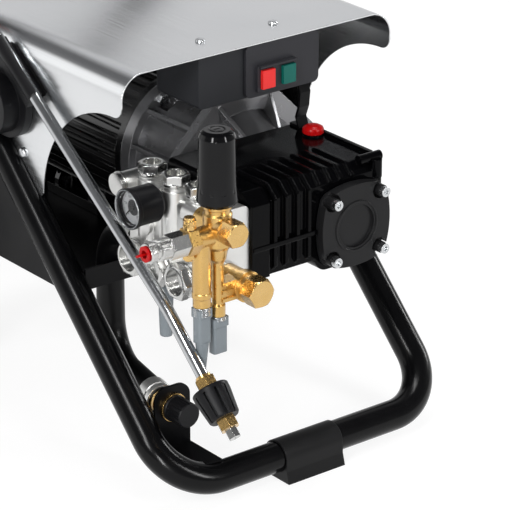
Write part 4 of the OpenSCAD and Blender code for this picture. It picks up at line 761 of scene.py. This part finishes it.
class WASHER_OT_screws(bpy.types.Operator):
    """Make the two cross-head screws that hold the sides of the cover"""

    bl_idname = "washer.screws"
    bl_label = "Cover screws"

    def execute(self, context):
        low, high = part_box("cover_screws")
        y, z = (low[1] + high[1]) / MM / 2, (low[2] + high[2]) / MM / 2
        outer = high[0] / MM
        parts, moves = [], []
        for side in (-1, 1):
            head = turned([
                (0, -16.0), (2.8, -16.0), (2.8, -3.9), (6.5, -3.9), (6.5, -2.9), (5.7, -1.3), (4.0, -0.3),
                (2.0, 0.0), (0, 0.0)], 48)
            cross = bar_mesh(((-3.3, -0.55, -2.4), (3.3, 0.55, 1.0)), ((-0.55, -3.3, -2.2), (0.55, 3.3, 1.2)))
            parts.append(cut(head, cross))
            turn = Matrix.Rotation(math.radians(22 * side), 4, "Z")
            spot = axes((side * outer, y, z), (0, side, 0), (0, 0, 1), (side, 0, 0))
            moves.append(spot @ turn)
        heads = joined(parts, moves)
        placed("cover_screw_heads", heads, None, "chassis", "steel", ["cover_screws"])
        return {"FINISHED"}


class WASHER_OT_box_screws(bpy.types.Operator):
    """Make the two low screws that hold the control box under the cover"""

    bl_idname = "washer.box_screws"
    bl_label = "Box screws"

    def execute(self, context):
        low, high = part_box("control_box")
        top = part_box("cover")[1][2] / MM + 0.1
        middle, depth, apart = (low[0] + high[0]) / MM / 2, 131.5, 100.0
        screw = bpy.data.objects.new("screw", cross_head())
        context.scene.collection.objects.link(screw)
        ends = [(middle + side * apart / 2, depth, top) for side in (-1, 1)]
        row = grown(ends, screw_tree("steel"), {"Screw": screw})
        bpy.data.objects.remove(screw)
        placed("box_screw_heads", row, None, "chassis", "steel")
        return {"FINISHED"}


class WASHER_OT_threads(bpy.types.Operator):
    """Lay thread crests on the outlet fitting and on the necks of the two switches"""

    bl_idname = "washer.threads"
    bl_label = "Thread crests"

    def execute(self, context):
        left = ((0, 1, 0), (0, 0, -1), (-1, 0, 0))
        upward = ((1, 0, 0), (0, 1, 0), (0, 0, 1))
        # the last four are the number of turns, and the pitch, radius and crest in millimetres
        for name, finish, slot, place, aim, turns, pitch, radius, crest in (
            ("outlet_thread", "nickel", "plug_nickel", (-247.4, -48, 338), left, 4, 1.5, 11.35, 0.45),
            ("fitting_thread", "nickel", "plug_nickel", (-228.6, -48, 338), left, 8, 1.5, 11.35, 0.45),
            ("rear_neck_thread", "steel", "bolt_steel", (-184.3, -48, 252.4), upward, 7, 1.4, 8.9, 0.6),
            ("front_neck_thread", "steel", "bolt_steel", (-163.3, -48, 241.6), upward, 4, 1.1, 8.2, 0.4),
        ):
            crests = grown(SEED, thread_tree(finish), {
                "Turns": turns, "Pitch": pitch, "Radius": radius, "Crest": crest})
            crests.shade_smooth()
            placed(name, crests, axes(place, *aim), "chassis", finish)
        return {"FINISHED"}


class WASHER_OT_welds(bpy.types.Operator):
    """Lay the weld beads where the tray meets the legs and the axle brackets meet the tray"""

    bl_idname = "washer.welds"
    bl_label = "Weld beads"

    def execute(self, context):
        tree = weld_tree("powder_coat")
        rake = math.radians(44.5)
        leg_x, leg_foot, tube_reach, bracket_x, tray_under = 190.0, 26.0, 17.8, 150.0, 195.6
        under = leg_foot - tube_reach / math.cos(rake)
        paths = []
        for side in (-1, 1):
            for start in (190, 262, 338):
                ends = (start, start + 46)
                paths.append([(side * leg_x, y, under + math.tan(rake) * y) for y in ends])
            for offset in (-2.6, 2.6):
                paths.append([(side * bracket_x + offset, y, tray_under) for y in (524, 576)])
        beads = joined([grown(path, tree, {"Step": 2.3, "Drop": 2.3}) for path in paths])
        beads.shade_smooth()
        placed("weld_beads", beads, None, "chassis", "powder_coat")
        return {"FINISHED"}


class WASHER_PT_panel(bpy.types.Panel):
    """Pressure washer"""

    bl_label = "Pressure washer"
    bl_space_type = "VIEW_3D"
    bl_region_type = "UI"
    bl_category = "Washer"

    def draw(self, context):
        settings = context.scene.washer
        for name in ("floor_size", "floor_colour", "key_power", "hose_width"):
            self.layout.prop(settings, name)
        for operator in OPERATORS:
            self.layout.operator(operator.bl_idname)


OPERATORS = (
    WASHER_OT_stage, WASHER_OT_finishes, WASHER_OT_hose, WASHER_OT_lance, WASHER_OT_gauge,
    WASHER_OT_knob, WASHER_OT_screws, WASHER_OT_box_screws, WASHER_OT_threads, WASHER_OT_welds,
)
CLASSES = (WasherSettings, *OPERATORS, WASHER_PT_panel)


def register():
    for kind in CLASSES:
        bpy.utils.register_class(kind)
    bpy.types.Scene.washer = bpy.props.PointerProperty(type=WasherSettings)


def unregister():
    del bpy.types.Scene.washer
    for kind in reversed(CLASSES):
        bpy.utils.unregister_class(kind)


def main():
    register()
    for operator in OPERATORS:
        group, name = operator.bl_idname.split(".")
        getattr(getattr(bpy.ops, group), name)()


if __name__ == "__main__":
    main()
